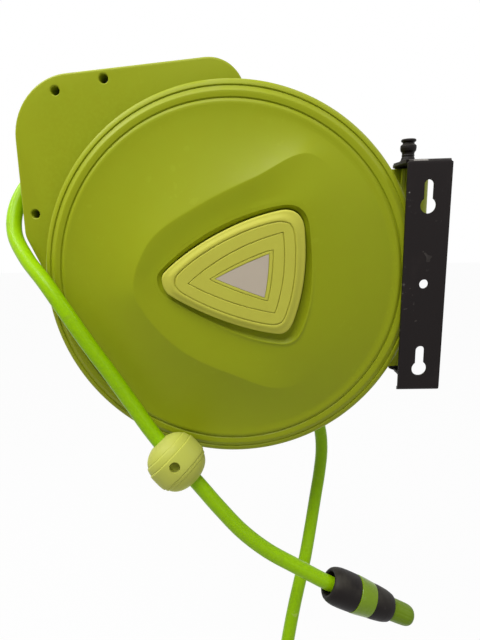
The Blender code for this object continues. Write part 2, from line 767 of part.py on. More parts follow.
def corner_sag(height):
    """How far the box's left wall has curved in, where its upper corner is at that height."""
    start = BOX_TOP - BOX_SLOPE - BOX_CORNER_R * 0.938
    return BOX_CORNER_R - math.sqrt(BOX_CORNER_R ** 2 - max(0, height - start) ** 2)


def lip_at():
    """Where the cage's lip stands behind the left wall, clear of the corner's curve."""
    return BOX_LEFT + SHELL_T + corner_sag(CAGE_HIGH + LIP_PROUD) + 0.0007


def box_solid(name, side, inset, depth, edge):
    """Half of the outlet box, with an eased edge, as a loft of its outline."""
    outline = offset(box_outline(), -inset)
    steps = [(0, GAP / 2 if inset == 0 else -0.001), (0, depth - edge)]
    if edge:
        steps.append((edge, depth))
    rings = [[(x, side * d, z) for x, z in offset(outline, -drawn)] for drawn, d in steps]
    return loft(name, rings)


def lug_half(name, side, eye, low, high, root_half, root_x):
    """Half of the pivot lug: an eye about the pivot and a web back into the side wall."""
    seam = GAP / 2
    start = math.degrees(math.asin(seam / eye))
    curve = arc((PIVOT_X, 0), eye, start, 110, 7)
    plan = [(root_x, seam)] + [(x, y) for x, y in [(PIVOT_X + eye, seam)] + curve[1:]]
    plan += [(root_x, root_half)]
    plan = [(x, side * y) for x, y in plan]
    return prism(name, [plan if side > 0 else plan[::-1]], low, high)


def cavity(name, side):
    """The hollow that holds the drum, which follows the face at the shell's thickness."""
    angles = face_angles(FACE_STEPS)
    inner = WALL_R - SHELL_T
    rings = [circle_ring(radius, depth, side, angles) for radius, depth in (
        (inner, -0.002), (inner, RIM_FACE - SHELL_T - 0.0010),
        (DISC_R - 0.0235, RIM_FACE + 0.0008 - SHELL_T))]
    rings += dome_rings(side, angles, rings[-1], SHELL_T, (0.5,))
    floor = outline_ring(offset(cap_outline(), 0.0016 + SHELL_T), [CAVITY_DEPTH] * FACE_STEPS,
                         side, angles)
    return loft(name, [*rings, floor])


def axis_boss(name, side):
    """The ring on the drum's axis that holds the arbor in front and the inlet elbow behind."""
    outer, bore, start = (ARBOR_R + 0.0050, ARBOR_R + GAP, DRUM_FRONT + 0.0040)
    if side > 0:
        outer, bore, start = (SPIGOT_R + 0.0057, SPIGOT_R + 0.0012 + GAP, 0.0135 - INLET_DEPTH)
    return turned(name, [(bore, CAVITY_DEPTH + 0.0005), (outer, CAVITY_DEPTH + 0.0005),
                         (outer, start), (bore, start)], 18, axis=FRONT * -side,
                  collection=CUTTERS)


def screw_bosses(side):
    tag = "front" if side < 0 else "rear"
    return [rod(f"{tag}_boss_{i}", BOSS_R, (x, side * GAP / 2, z),
                (x, side * (BOX_DEPTH - 0.001), z), sides=14)
            for i, (x, z) in enumerate(BOX_SCREWS)]


def screw_holes(side):
    """Box screws go in from the front, lug screws from the rear."""
    tag = "front" if side < 0 else "rear"
    holes = []
    for kind, places, entry in (("box", BOX_SCREWS, -1), ("lug", LUG_SCREWS, 1)):
        deep = BOX_DEPTH + 0.008 if kind == "box" else 0.040
        floor = 0.030 if kind == "box" else 0.009
        for i, (x, z) in enumerate(places):
            name = f"{tag}_{kind}_screw_hole_{i}"
            if side == entry:
                holes.append(rod(name + "_recess", SCREW_RECESS_R, (x, side * floor, z),
                                 (x, side * deep, z)))
                holes.append(rod(name, SCREW_R + GAP, (x, -side * 0.002, z),
                                 (x, side * (floor + 0.001), z), sides=10))
            else:
                reach = 0.020 if kind == "box" else 0.012
                holes.append(rod(name, SCREW_R + GAP, (x, -side * 0.002, z),
                                 (x, side * reach, z), sides=10))
    return holes


def make_shell(name, side, swing):
    """One moulded half: disc face, side wall, half outlet box and half lug."""
    tag = "front" if side < 0 else "rear"
    shell = loft(name, face_rings(side, FACE_STEPS), PARTS)
    add(shell,
        box_solid(tag + "_box", side, 0, BOX_DEPTH, 0.0022),
        lug_half(tag + "_lug", side, LUG_EYE_R, LUG_BOTTOM, LUG_TOP, 0.024, WALL_R - 0.0275),
        lug_half(tag + "_knuckle", side, KNUCKLE_R, KNUCKLE_FROM, LUG_TOP, 0.023, PIVOT_X - 0.012))
    cut(shell,
        cavity(tag + "_cavity", side),
        box_solid(tag + "_box_hollow", side, SHELL_T, BOX_DEPTH - SHELL_T, 0))
    add(shell, axis_boss(tag + "_axis_boss", side), *screw_bosses(side))
    if side < 0:
        pawl_at = (PAWL_AT[0], 0, PAWL_AT[2])
        boss = rod("pawl_boss", PAWL_PIN_R + 0.0030, (pawl_at[0], -PAWL_BOSS_FACE, pawl_at[2]),
                   (pawl_at[0], -RIM_FACE - 0.0100, pawl_at[2]))
        add(shell, boss)
        cut(shell, rod("pawl_pin_hole", PAWL_PIN_R + GAP, (pawl_at[0], -DRUM_FRONT, pawl_at[2]),
                       (pawl_at[0], -CAVITY_DEPTH, pawl_at[2]), sides=12))
    else:
        cut(shell, rod("inlet_hole", GLAND_HOLE_R, inlet_point(WALL_R - 0.012),
                       inlet_point(WALL_R + 0.012)))
    cut(shell,
        rod(tag + "_pivot_bore", BUSH_R + GAP, (PIVOT_X, 0, LUG_BOTTOM - 0.01),
            (PIVOT_X, 0, LUG_TOP + 0.01)),
        block(tag + "_outlet_cut",
              (BOX_LEFT - 0.004, -CAGE_HALF - GAP, CAGE_LOW - GAP),
              (lip_at() + 0.0004, CAGE_HALF + GAP, CAGE_HIGH + GAP)),
        *screw_holes(side))
    return seat(shell, swing, HOUSING_GREEN)


def make_cap(name, side, grooves, recess, swing):
    """The pale cap: an eased slab with groove loops, each a scaled copy of its outline."""
    outline = cap_outline(8, 2)
    face = CAP_FACE - 0.0006
    steps = [(offset(outline, 0), CAP_FLOOR + GAP), (offset(outline, 0), CAP_FACE - 0.0035),
             (offset(outline, -0.0014), CAP_FACE - 0.0014), (offset(outline, -0.0040), face)]
    for factor in grooves:
        for shift, depth in ((0.010, face), (0, face - 0.0015), (-0.010, face)):
            steps.append((scaled(outline, CAP_CENTRE, factor + shift), depth))
    if recess:
        steps.append((scaled(outline, CAP_CENTRE, recess), face))
        steps.append((scaled(outline, CAP_CENTRE, recess - 0.003), face - 0.0010))
    rings = [[(x, side * depth, z) for x, z in loop] for loop, depth in steps]
    return seat(loft(name, rings, PARTS), swing, PALE_GREEN)


def make_label(swing):
    loop = scaled(cap_outline(8, 2), CAP_CENTRE, 0.368)
    face = CAP_FACE - 0.0006
    label = prism("label_plate", [loop], face - 0.0010 + GAP, face - 0.0001, FRONT, PARTS)
    seat(label, swing, LABEL_GREY)


def make_bushes(swing):
    low_face = PLATE_BOTTOM + PLATE_THICK + GAP
    high_face = PLATE_TOP - PLATE_THICK - GAP
    bore = ROD_R + GAP
    rim = BUSH_R + 0.0060
    foot = BUSH_R + 0.0035
    upper = turned("upper_bush", [
        (bore, high_face), (rim, high_face), (rim, LUG_TOP + GAP),
        (BUSH_R, LUG_TOP + GAP), (BUSH_R, LUG_TOP - BUSH_SLEEVE), (bore, LUG_TOP - BUSH_SLEEVE)],
        16, (PIVOT_X, 0, 0), UP)
    lower = turned("lower_bush", [
        (bore, LUG_BOTTOM + BUSH_SLEEVE), (BUSH_R, LUG_BOTTOM + BUSH_SLEEVE),
        (BUSH_R, LUG_BOTTOM - GAP), (foot, LUG_BOTTOM - GAP), (foot, low_face),
        (bore, low_face)], 16, (PIVOT_X, 0, 0), UP)
    seat(upper, swing, MOULDED_BLACK)
    seat(lower, swing, MOULDED_BLACK)


def make_swing_stop(swing):
    """A pad on the lug's end below the upper knuckle, which meets the wall at full swing."""
    inner = arc((PIVOT_X, 0), LUG_EYE_R + GAP, 40, -40, 8)
    outer = arc((PIVOT_X, 0), LUG_EYE_R + 0.0120, -24, 24, 6)
    pad = prism("swing_stop", [outer + inner], KNUCKLE_FROM - 0.0250, KNUCKLE_FROM - GAP,
                UP, PARTS)
    seat(pad, swing, RUBBER)


def make_shell_screws(swing):
    for kind, places, entry, floor, reach in (("box", BOX_SCREWS, -1, 0.030, 0.018),
                                              ("lug", LUG_SCREWS, 1, 0.009, 0.010)):
        for i, (x, z) in enumerate(places):
            head = floor + GAP
            screw = turned(f"{kind}_screw_{i + 1}", [
                (0, head + 0.0016), (0.0018, head + 0.0016), (0.0018, head + 0.0030),
                (SCREW_HEAD_R, head + 0.0026), (SCREW_HEAD_R, head), (SCREW_R, head),
                (SCREW_R, -reach), (0, -reach)],
                9, (x, 0, z), FRONT * -entry, closed=False)
            seat(screw, swing, STEEL)


def make_outlet(swing):
    """The roller cage: a lipped tube let into the box's left wall, and its four pins."""
    back = BOX_LEFT + CAGE_LONG
    middle = (CAGE_LOW + CAGE_HIGH) / 2
    tall = (CAGE_HIGH - CAGE_LOW) / 2

    def ring(x, grow):
        wide, high = CAGE_HALF + grow, tall + grow
        ease = max(0.003 + grow, 0.0006)
        loop = rounded([(wide, high, ease), (-wide, high, ease), (-wide, -high, ease),
                        (wide, -high, ease)], 1)
        return [(x, y, middle + z) for y, z in loop]
    lip = lip_at()
    cage = loft("outlet_frame", [ring(BOX_LEFT, 0), ring(lip, 0), ring(lip, LIP_PROUD),
                                 ring(lip + 0.0025, LIP_PROUD), ring(lip + 0.0025, 0),
                                 ring(back, 0)], PARTS)
    cut(cage, loft("outlet_mouth", [ring(BOX_LEFT - 0.004, -CAGE_WALL), ring(back + 0.004, -CAGE_WALL)]))
    pins = []
    for name, z in (("lower", LOWER_ROLLER_Z), ("upper", UPPER_ROLLER_Z)):
        pins.append((name, (CROSS_ROLLER_X, -CAGE_HALF + 0.0004, z),
                     (CROSS_ROLLER_X, CAGE_HALF - 0.0004, z)))
    for name, y in (("front", -SIDE_ROLLER_OUT), ("rear", SIDE_ROLLER_OUT)):
        pins.append((name, (SIDE_ROLLER_X, y, CAGE_LOW + 0.0004),
                     (SIDE_ROLLER_X, y, CAGE_HIGH - 0.0004)))
    for name, start, end in pins:
        way = (Vector(end) - Vector(start)).normalized() * 0.004
        cut(cage, rod(f"guide_hole_{name}", GUIDE_PIN_R + GAP, Vector(start) - way,
                      Vector(end) + way, sides=12))
        seat(rod(f"guide_pin_{name}", GUIDE_PIN_R, start, end, PARTS, 12), swing, STEEL)
    seat(cage, swing, MOULDED_BLACK)


def make_roller(name, at, axis, radius, half, frame):
    bore = GUIDE_PIN_R + GAP
    roller = turned(name, [
        (bore, half), (radius - 0.0012, half), (radius, half - 0.0012),
        (radius - 0.0005, 0), (radius, -half + 0.0012), (radius - 0.0012, -half),
        (bore, -half)], 12, at, axis)
    seat(roller, frame, DRUM_GREY)


# Water inlet and what carries the drum

def make_inlet(swing):
    """The fixed elbow on the drum's axis, its hose tail, clamp and the wall grommet."""
    back = CAVITY_DEPTH - 0.0010
    depth = -INLET_DEPTH
    spigot = SPIGOT_R
    groove = SPIGOT_R - 0.0016
    wide = SPIGOT_R + 0.0042
    neck = SPIGOT_R + 0.0012
    elbow = turned("inlet_elbow", [
        (0, -0.0060), (SPIGOT_R - 0.0018, -0.0060), (spigot, -0.0080), (spigot, -0.0120),
        (groove, -0.0120), (groove, -0.0146), (spigot, -0.0146), (spigot, -0.0186),
        (groove, -0.0186), (groove, -0.0212), (spigot, -0.0212), (spigot, DRUM_BACK - 0.0015),
        (wide, DRUM_BACK - 0.0025), (wide, -depth - 0.0095), (neck, -depth - 0.0115),
        (neck, -back), (0, -back)],
        16, closed=False)
    arm = turned("elbow_arm", [
        (0, 0.0450), (0.0070, 0.0450), (0.0083, 0.0420), (0.0083, 0.0260), (0.0098, 0.0240),
        (0.0098, 0), (0, 0)], 14, (0, depth, 0), inlet_way(), CUTTERS, closed=False)
    add(elbow, arm)
    seat(elbow, swing, BRASS)
    tail = tube("inlet_tail", [inlet_point(0.0453), inlet_point(WALL_R + 0.0042)], HOSE_R)
    seat(tail, swing, HOSE_GREEN)
    band = HOSE_R + 0.00175
    clamp = turned("inlet_clamp", [
        (HOSE_R + GAP, 0.060), (band, 0.060), (band, 0.051), (HOSE_R + GAP, 0.051)],
        20, (0, depth, 0), inlet_way())
    seat(clamp, swing, STEEL)
    bore = HOSE_R + GAP
    body = GLAND_HOLE_R - GAP
    inner = WALL_R - SHELL_T - 0.0012
    grommet = turned("inlet_grommet", [
        (bore, WALL_R + 0.0040), (body, WALL_R + 0.0040), (GLAND_FLANGE_R, WALL_R + 0.0028),
        (GLAND_FLANGE_R, WALL_R + 0.0006), (body, WALL_R + 0.0006), (body, inner),
        (GLAND_FLANGE_R + 0.0008, inner), (GLAND_FLANGE_R + 0.0008, inner - 0.0022),
        (bore, inner - 0.0022)], 16, (0, depth, 0), inlet_way())
    seat(grommet, swing, RUBBER)


def make_arbor(swing):
    """The fixed shaft that holds the mainspring's inner end and carries the drum's front."""
    arbor = turned("spring_arbor", [
        (0, CAVITY_DEPTH - 0.0006), (ARBOR_R - 0.001, CAVITY_DEPTH - 0.0006),
        (ARBOR_R, CAVITY_DEPTH - 0.0016), (ARBOR_R, WEB_FRONT + 0.0006),
        (JOURNAL_R, WEB_FRONT + 0.0006), (JOURNAL_R, 0.0030), (JOURNAL_R - 0.001, 0.0024),
        (0, 0.0024)], 18, closed=False)
    slot = SPRING_T / 2 + 0.0002
    cut(arbor, block("spring_slot", (-slot, -WIND_FRONT + 0.007, -0.020), (slot, -0.014, 0)))
    seat(arbor, swing, STEEL)


# Drum

def make_core(drum):
    front, back = DRUM_FRONT, DRUM_BACK
    inner = CORE_R - CORE_T
    core = turned("drum_core", [
        (0, 0.0020), (JOURNAL_R + GAP, 0.0020), (JOURNAL_R + GAP, WEB_FRONT), (inner, WEB_FRONT),
        (inner, front), (CORE_R, front), (CORE_R, back), (inner, back), (inner, WEB_BACK),
        (HUB_R, WEB_BACK), (HUB_R, back), (HUB_BORE, back), (HUB_BORE, -0.0030),
        (0, -0.0030)], DRUM_STEPS, closed=False)
    cut(core, rod("stub_hole", 0.0066, (-HUB_BORE + 0.004, 0.0120, 0), (-CORE_R - 0.004, 0.0120, 0)))
    seat(core, drum, DRUM_GREY)
    stub = turned("outlet_stub", [
        (0.0035, CORE_R - 0.0009), (0.0063, CORE_R - 0.0009), (0.0063, HUB_BORE + 0.0012),
        (0.0035, HUB_BORE + 0.0012)], 16, (0, 0.0120, 0), (-1, 0, 0))
    seat(stub, drum, BRASS)
    clamp = turned("stub_clamp", [
        (0.0066, 0.0420), (0.0085, 0.0420), (0.0085, 0.0340), (0.0066, 0.0340)],
        16, (0, 0.0120, 0), (-1, 0, 0))
    seat(clamp, drum, STEEL)


def ratchet_outline():
    """Saw teeth round a ring: each rises along a slope and drops at a step.

    They are turned so that the pawl drops between two of them at the drum's rest.
    """
    outline = []
    pawl_angle = math.degrees(math.atan2(PAWL_AT[2], PAWL_AT[0]))
    pitch = 360 / RATCHET_TEETH
    for tooth in range(RATCHET_TEETH):
        start = tooth * pitch + pawl_angle - 0.225 * pitch
        outline += arc((0, 0), RATCHET_ROOT, start, start + pitch * 0.45, 2)
        tip = math.radians(start + pitch * 0.92)
        outline.append((RATCHET_R * math.cos(tip), RATCHET_R * math.sin(tip)))
        outline.append((RATCHET_R * math.cos(tip + 0.03), RATCHET_R * math.sin(tip + 0.03)))
    return outline


def make_flanges(drum):
    bore = CORE_R + GAP
    for name, inside, outside, way in (
            ("front_flange", WIND_FRONT, WIND_FRONT + FLANGE_T, 1),
            ("rear_flange", -WIND_BACK, -WIND_BACK + FLANGE_T, -1)):
        flange = turned(name, [
            (bore, outside), (FLANGE_R - 0.006, outside), (FLANGE_R - 0.004, outside + 0.0015),
            (FLANGE_R, outside + 0.0010), (FLANGE_R, inside), (bore, inside)],
            DRUM_STEPS, axis=FRONT * way)
        if way > 0:
            ring = prism("ratchet_ring", [ratchet_outline(), arc((0, 0), CORE_R + 0.006, 4, 349, 23)],
                         outside - 0.001, outside + RATCHET_T, FRONT)
            add(flange, ring)
        seat(flange, drum, DRUM_GREY)


def make_spring(drum):
    """The mainspring: one flat strip wound from the arbor out to the core's wall."""
    first = ARBOR_R + GAP + SPRING_T / 2
    last = CORE_R - CORE_T - 3 * GAP - SPRING_T / 2
    count = SPRING_TURNS * 12
    inner, outer = [], []
    for i in range(count + 1):
        angle = 2 * math.pi * SPRING_TURNS * i / count
        radius = first + (last - first) * i / count
        for line, shift in ((inner, -SPRING_T / 2), (outer, SPRING_T / 2)):
            line.append(((radius + shift) * math.cos(angle), (radius + shift) * math.sin(angle)))
    front = WIND_FRONT - 0.0020
    spring = prism("mainspring", [outer + inner[::-1]], WEB_FRONT + 0.0010, front, FRONT, PARTS)
    seat(spring, drum, STEEL)
    cover_front = DRUM_FRONT - 0.0002
    edge = CORE_R - CORE_T - GAP
    cover = turned("spring_cover", [
        (ARBOR_R + GAP, cover_front), (edge - 0.0022, cover_front), (edge, cover_front - 0.0010),
        (edge, front + GAP), (ARBOR_R + GAP, front + GAP)], DRUM_STEPS)
    seat(cover, drum, DRUM_GREY)


def make_winding(drum):
    """The stored hose: a core of layers with the outer layer's turns standing proud."""
    bottom = CORE_R + GAP
    top = RUN_ROUTE[0][2] - HOSE_R - GAP
    front, back = WIND_FRONT - GAP, WIND_BACK + GAP
    turns = 5
    pitch = (front - back) / turns
    profile = [(bottom, front)]
    for turn in range(turns):
        start = front - pitch * turn
        profile += [(top - 0.0050, start), (top, start - pitch * 0.5)]
    profile += [(top - 0.0050, back), (bottom, back)]
    seat(turned("wound_hose", profile, DRUM_STEPS), drum, HOSE_GREEN)


def make_seals(drum):
    """Two rings that seal the turning hub on the fixed spigot."""
    middle = HUB_BORE - 0.00095
    section = 0.00070
    for name, depth in (("hub_seal_inner", -0.0133), ("hub_seal_outer", -0.0199)):
        loop = [(middle + section * math.cos(a), depth + section * math.sin(a))
                for a in (math.radians(-72 * i) for i in range(5))]
        seat(turned(name, loop, 16), drum, RUBBER)


def make_pawl(pawl_frame, swing):
    """The ratchet pawl on its pin, held clear of the teeth, with its coil spring."""
    x, _, z = PAWL_AT
    away = Matrix.Rotation(-PAWL_REST, 3, "Y") @ Vector((x, 0, z)).normalized()
    across = Vector((-away.z, 0, away.x))

    def spot(out, side):
        point = Vector((x, 0, z)) + away * out + across * side
        return (point.x, point.z)
    tip = -PAWL_REACH
    outline = [spot(tip, -0.0012), spot(tip, 0.0012), spot(tip + 0.006, 0.0030)]
    eye = PAWL_PIN_R + 0.0025
    outline += [spot(eye * math.cos(a), eye * math.sin(a))
                for a in (math.radians(120 - 24 * i) for i in range(11))]
    outline += [spot(tip + 0.006, -0.0030)]
    low = PAWL_LOW
    pawl = prism("pawl", [outline], low, low + PAWL_T, FRONT, PARTS)
    cut(pawl, rod("pawl_bore", PAWL_PIN_R + GAP, (x, -low + 0.002, z), (x, -low - 0.008, z), sides=14))
    seat(pawl, pawl_frame, MOULDED_BLACK)
    pin = rod("pawl_pin", PAWL_PIN_R, (x, -low + 0.0002, z), (x, -CAVITY_DEPTH + GAP, z), PARTS, 12)
    seat(pin, swing, STEEL)
    wire = 0.0005
    coil_r = PAWL_PIN_R + GAP + wire
    start = low + PAWL_T + 0.0004 + wire
    end = PAWL_BOSS_FACE - GAP - wire
    points = [Vector((x + coil_r * math.cos(a), -(start + (end - start) * i / 20),
                      z + coil_r * math.sin(a)))
              for i, a in ((i, 2 * math.pi * i / 8) for i in range(21))]
    seat(tube("pawl_spring", points, wire, 1), swing, STEEL)


# Hoses, ball, nozzle, coil and connector

def make_ball(leader, swing):
    """The stopper ball: two halves clamped round the leader and the grub screw that grips it."""
    lengths = [0.0]
    for start, end in zip(leader, leader[1:]):
        lengths.append(lengths[-1] + (end - start).length)
    centre = at_length(leader, lengths, BALL_ALONG)
    ahead = at_length(leader, lengths, BALL_ALONG + 0.010)
    along = (ahead - centre).normalized()
    out = (FRONT - along * FRONT.dot(along)).normalized()
    half = 0.0268
    profile = []
    for height, sunk in ((0.0268, 0.0), (0.0222, 0.0), (0.0214, 0.0010), (0.0198, 0.0),
                         (0.0128, 0.0), (0.0116, 0.0010), (0.0102, 0.0), (0.0, 0.0),
                         (-0.0102, 0.0), (-0.0116, 0.0010), (-0.0128, 0.0), (-0.0198, 0.0),
                         (-0.0214, 0.0010), (-0.0222, 0.0), (-0.0268, 0.0)):
        profile.append((math.sqrt(BALL_R ** 2 - height ** 2) - sunk, height))
    profile = [(0, half), *profile, (0, -half)]
    bore = solid_from_curve(tube("ball_bore", leader, HOSE_R + GAP, 2, CUTTERS), CUTTERS)
    big = BALL_R * 1.5
    for name, way in (("stop_ball_front", 1), ("stop_ball_rear", -1)):
        ball = turned(name, profile, 24, centre, along, closed=False)
        keep = block(name + "_trim", (-big, -big, -2 * big), (big, big, 0))
        keep.matrix_basis = Matrix.Translation(centre + out * way * GAP / 2) @ facing(out * way)
        cut(ball, keep, bore)
        if way > 0:
            cut(ball, rod("ball_recess", 0.0052, centre + out * 0.0190, centre + out * 0.04),
                rod("ball_thread", 0.0028, centre, centre + out * 0.0195, sides=12))
        seat(ball, swing, PALE_GREEN)
    low = HOSE_R + 0.0008
    grub = turned("ball_screw", [
        (0, 0.0172), (0.0011, 0.0172), (0.0011, 0.0188), (0.0021, 0.0188), (0.0025, 0.0182),
        (0.0025, low + 0.0005), (0.0018, low), (0, low)], 12, centre, out, closed=False)
    seat(grub, swing, STEEL)


def make_nozzle(swing, tip_frame):
    """The spray nozzle, turned about its axis: grip collar, band, body and twist tip."""
    mouth = Vector(LEADER_ROUTE[-1])
    back = -NOZZLE_AXIS
    stem = HOSE_R + 0.00025
    bore = stem + GAP

    def about_hose(profile):
        return [(HOSE_R + proud, along) for proud, along in profile]
    collar = turned("nozzle_collar", [
        *about_hose([(0.00455, -0.0010), (0.00555, 0.0), (0.00735, 0.0), (0.00895, -0.0014),
                     (0.01095, -0.0060), (0.01205, -0.0130), (0.01215, -0.0250),
                     (0.01175, -0.0350)]),
        (bore + 0.0004, -0.0350), (bore + 0.0004, -0.0120), (HOSE_R + 0.00295, -0.0090)],
        20, mouth, back)
    seat(collar, swing, MOULDED_BLACK)
    band = turned("nozzle_band", [
        (bore, -0.0353), *about_hose([(0.01195, -0.0353), (0.01175, -0.0420),
                                      (0.01045, -0.0556)]),
        (bore, -0.0556)], 20, mouth, back)
    seat(band, swing, HOSE_GREEN)
    body = turned("nozzle_body", [
        (WATERWAY_R, -HOSE_IN_NOZZLE - GAP), (stem, -HOSE_IN_NOZZLE - GAP), (stem, -0.0559),
        *about_hose([(0.01025, -0.0559), (0.00975, -0.0640), (0.00875, -0.0730),
                     (0.00705, -0.0785), (0.00535, -0.0800)]),
        (TIP_NECK_R, -0.0800), (TIP_NECK_R, -0.0920), (WATERWAY_R, -0.0920)],
        20, mouth, back)
    seat(body, swing, MOULDED_BLACK)
    neck = TIP_NECK_R + GAP
    tip = turned("nozzle_tip", [
        (neck, -0.0803), (neck + 0.0041, -0.0803), (neck + 0.0039, -0.0900),
        (neck + 0.0035, -0.1030), (neck + 0.0025, -0.1072), (neck + 0.0005, -0.1090),
        (WATERWAY_R + 0.0008, -0.1090), (WATERWAY_R + 0.0008, -0.0924), (neck, -0.0924)],
        20, mouth, back)
    seat(tip, tip_frame, HOSE_GREEN)


def make_hoses(swing):
    inside, leader = leader_routes()
    free, coil = inlet_routes()
    seat(tube("hose_run", inside, HOSE_R), swing, HOSE_GREEN)
    seat(tube("leader_hose", leader, HOSE_R), swing, HOSE_GREEN)
    seat(tube("inlet_hose", free, HOSE_R), swing, HOSE_GREEN)
    seat(tube("inlet_coil", coil, HOSE_R, 1), swing, HOSE_GREEN)
    print("leader length", round(route_length(leader), 4))
    print("inlet free length", round(route_length(free) + route_length(coil), 4))
    print("least gap in the coil", round(least_gap_in_coil(coil), 5))
    return leader, coil


def make_coil_fittings(coil, swing):
    """The tie round the coil's strands and the tap connector on its end."""
    x = COIL_CENTRE[0] + COIL_R
    near, far = COIL_CENTRE[1], COIL_CENTRE[1] + 2 * COIL_PITCH
    grow = HOSE_R + 0.0005
    inner = rounded([(x + grow, far + grow, 0.0055), (x - grow - 0.0009, far + grow, 0.0055),
                     (x - grow - 0.0009, near - grow, 0.0055), (x + grow, near - grow, 0.0055)], 4)
    z = COIL_CENTRE[2]
    tie = prism("coil_tie", [offset(inner, 0.0016), inner], z - 0.0050, z + 0.0050, UP, PARTS)
    seat(tie, swing, RUBBER)
    end = coil[-1]
    nut = turned("connector_nut", [
        (0, 0.0180), (HOSE_R + 0.00475, 0.0180), (HOSE_R + 0.00595, 0.0160),
        (HOSE_R + 0.00595, 0.0020), (HOSE_R + 0.00455, 0.0),
        (HOSE_R + GAP, -0.0040), (HOSE_R + GAP, GAP), (0, GAP)], 16, end, UP, closed=False)
    seat(nut, swing, MOULDED_BLACK)
    body = turned("connector_body", [
        (0, 0.0340), (0.0110, 0.0340), (0.0110, 0.0480), (0.0165, 0.0480), (0.0172, 0.0465),
        (0.0172, 0.0330), (0.0150, 0.0310), (0.0150, 0.0183), (0, 0.0183)],
        16, end, UP, closed=False)
    seat(body, swing, HOSE_GREEN)


def build():
    root = new_frame("bracket_frame", -REEL_AT)
    pin = new_frame("pivot_pin_axis", (PIVOT_X, 0, PLATE_TOP))
    swing = new_frame("swing_axis", (PIVOT_X, 0, 0))
    drum = new_frame("drum_axis", (0, 0, 0), swing)
    pawl_frame = new_frame("pawl_axis", PAWL_AT, swing)
    tip_frame = new_frame("nozzle_axis", LEADER_ROUTE[-1], swing)

    make_bracket(root)
    make_pivot_pin(pin)
    make_shell("front_shell", -1, swing)
    make_shell("rear_shell", 1, swing)
    make_cap("front_cap", -1, (0.842, 0.680, 0.450), 0.382, swing)
    make_cap("rear_cap", 1, (0.842, 0.680), 0, swing)
    make_label(swing)
    make_bushes(swing)
    make_swing_stop(swing)
    make_shell_screws(swing)
    make_outlet(swing)
    side_middle = (CAGE_LOW + CAGE_HIGH) / 2
    side_half = (CAGE_HIGH - CAGE_LOW) / 2 - CAGE_WALL - 0.0004
    cross_half = CAGE_HALF - CAGE_WALL - 0.0004
    for name, at, axis, radius, half in (
            ("roller_lower", (CROSS_ROLLER_X, 0, LOWER_ROLLER_Z), FRONT, ROLLER_R, cross_half),
            ("roller_upper", (CROSS_ROLLER_X, 0, UPPER_ROLLER_Z), FRONT, ROLLER_R, cross_half),
            ("roller_front", (SIDE_ROLLER_X, -SIDE_ROLLER_OUT, side_middle), UP,
             SIDE_ROLLER_R, side_half),
            ("roller_rear", (SIDE_ROLLER_X, SIDE_ROLLER_OUT, side_middle), UP,
             SIDE_ROLLER_R, side_half)):
        frame = new_frame(name + "_axis", at, swing)
        make_roller(name, at, axis, radius, half, frame)
    make_inlet(swing)
    make_arbor(swing)
    make_core(drum)
    make_flanges(drum)
    make_spring(drum)
    make_winding(drum)
    make_seals(drum)
    make_pawl(pawl_frame, swing)
    leader, coil = make_hoses(swing)
    make_ball(leader, swing)
    make_nozzle(swing, tip_frame)
    make_coil_fittings(coil, swing)


build()
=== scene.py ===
# %% [markdown]
# # A retractable hose reel, built around a fixed frame
#
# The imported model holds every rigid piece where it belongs, with its joints. This lesson gives
# the reel its looks: smooth mouldings, folded steel, turned fittings, hoses that bend as hoses
# do, and a finish for each. Every size is in metres. Pieces are shaped in the reel's own
# coordinates, whose origin is the drum's centre, and then moved to where the frame has them.

# %% Load the fixed frame
import json
import math

import bmesh
import bpy
import numpy as np
from mathutils import Matrix, Vector
from mathutils.geometry import interpolate_bezier


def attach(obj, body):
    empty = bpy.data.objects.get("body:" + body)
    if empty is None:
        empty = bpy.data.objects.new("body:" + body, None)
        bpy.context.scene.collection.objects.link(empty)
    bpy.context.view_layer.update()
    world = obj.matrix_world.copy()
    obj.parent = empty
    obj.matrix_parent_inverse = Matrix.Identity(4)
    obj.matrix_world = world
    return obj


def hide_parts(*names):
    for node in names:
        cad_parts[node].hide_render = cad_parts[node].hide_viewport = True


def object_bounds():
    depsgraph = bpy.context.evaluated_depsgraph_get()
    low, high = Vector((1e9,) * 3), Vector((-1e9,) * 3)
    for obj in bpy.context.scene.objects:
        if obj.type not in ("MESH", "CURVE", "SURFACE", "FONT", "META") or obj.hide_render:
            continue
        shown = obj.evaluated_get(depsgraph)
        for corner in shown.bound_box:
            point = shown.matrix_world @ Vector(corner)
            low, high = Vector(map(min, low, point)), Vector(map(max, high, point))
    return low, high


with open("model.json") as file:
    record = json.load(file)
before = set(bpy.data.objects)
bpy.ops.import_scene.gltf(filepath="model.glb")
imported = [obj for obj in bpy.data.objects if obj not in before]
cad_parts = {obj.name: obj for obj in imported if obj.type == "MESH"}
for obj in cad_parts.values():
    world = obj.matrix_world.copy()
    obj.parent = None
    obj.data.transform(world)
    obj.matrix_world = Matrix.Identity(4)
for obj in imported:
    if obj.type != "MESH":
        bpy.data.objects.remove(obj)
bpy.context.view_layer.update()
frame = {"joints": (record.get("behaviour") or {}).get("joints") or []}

scene = bpy.context.scene
joints = {joint["name"]: joint for joint in frame["joints"]}
DRUM_AT = Vector(joints["drum_spin"]["pos_m"])
FRONT = Vector((0, -1, 0))
UP = Vector((0, 0, 1))


def smoothstep(t):
    """From nothing to one and no further, slow at both ends."""
    t = np.clip(t, 0, 1)
    return t * t * (3 - 2 * t)


# %% [markdown]
# ## The camera
#
# The photograph was taken from a little to the right of the drum, looking slightly down. The
# place and the three turns below come from fitting a pinhole camera to the disc's ellipse and
# to the corners of the steel plate. A camera is placed with a matrix made of its right, up and
# backward directions, which avoids guessing Euler angles.

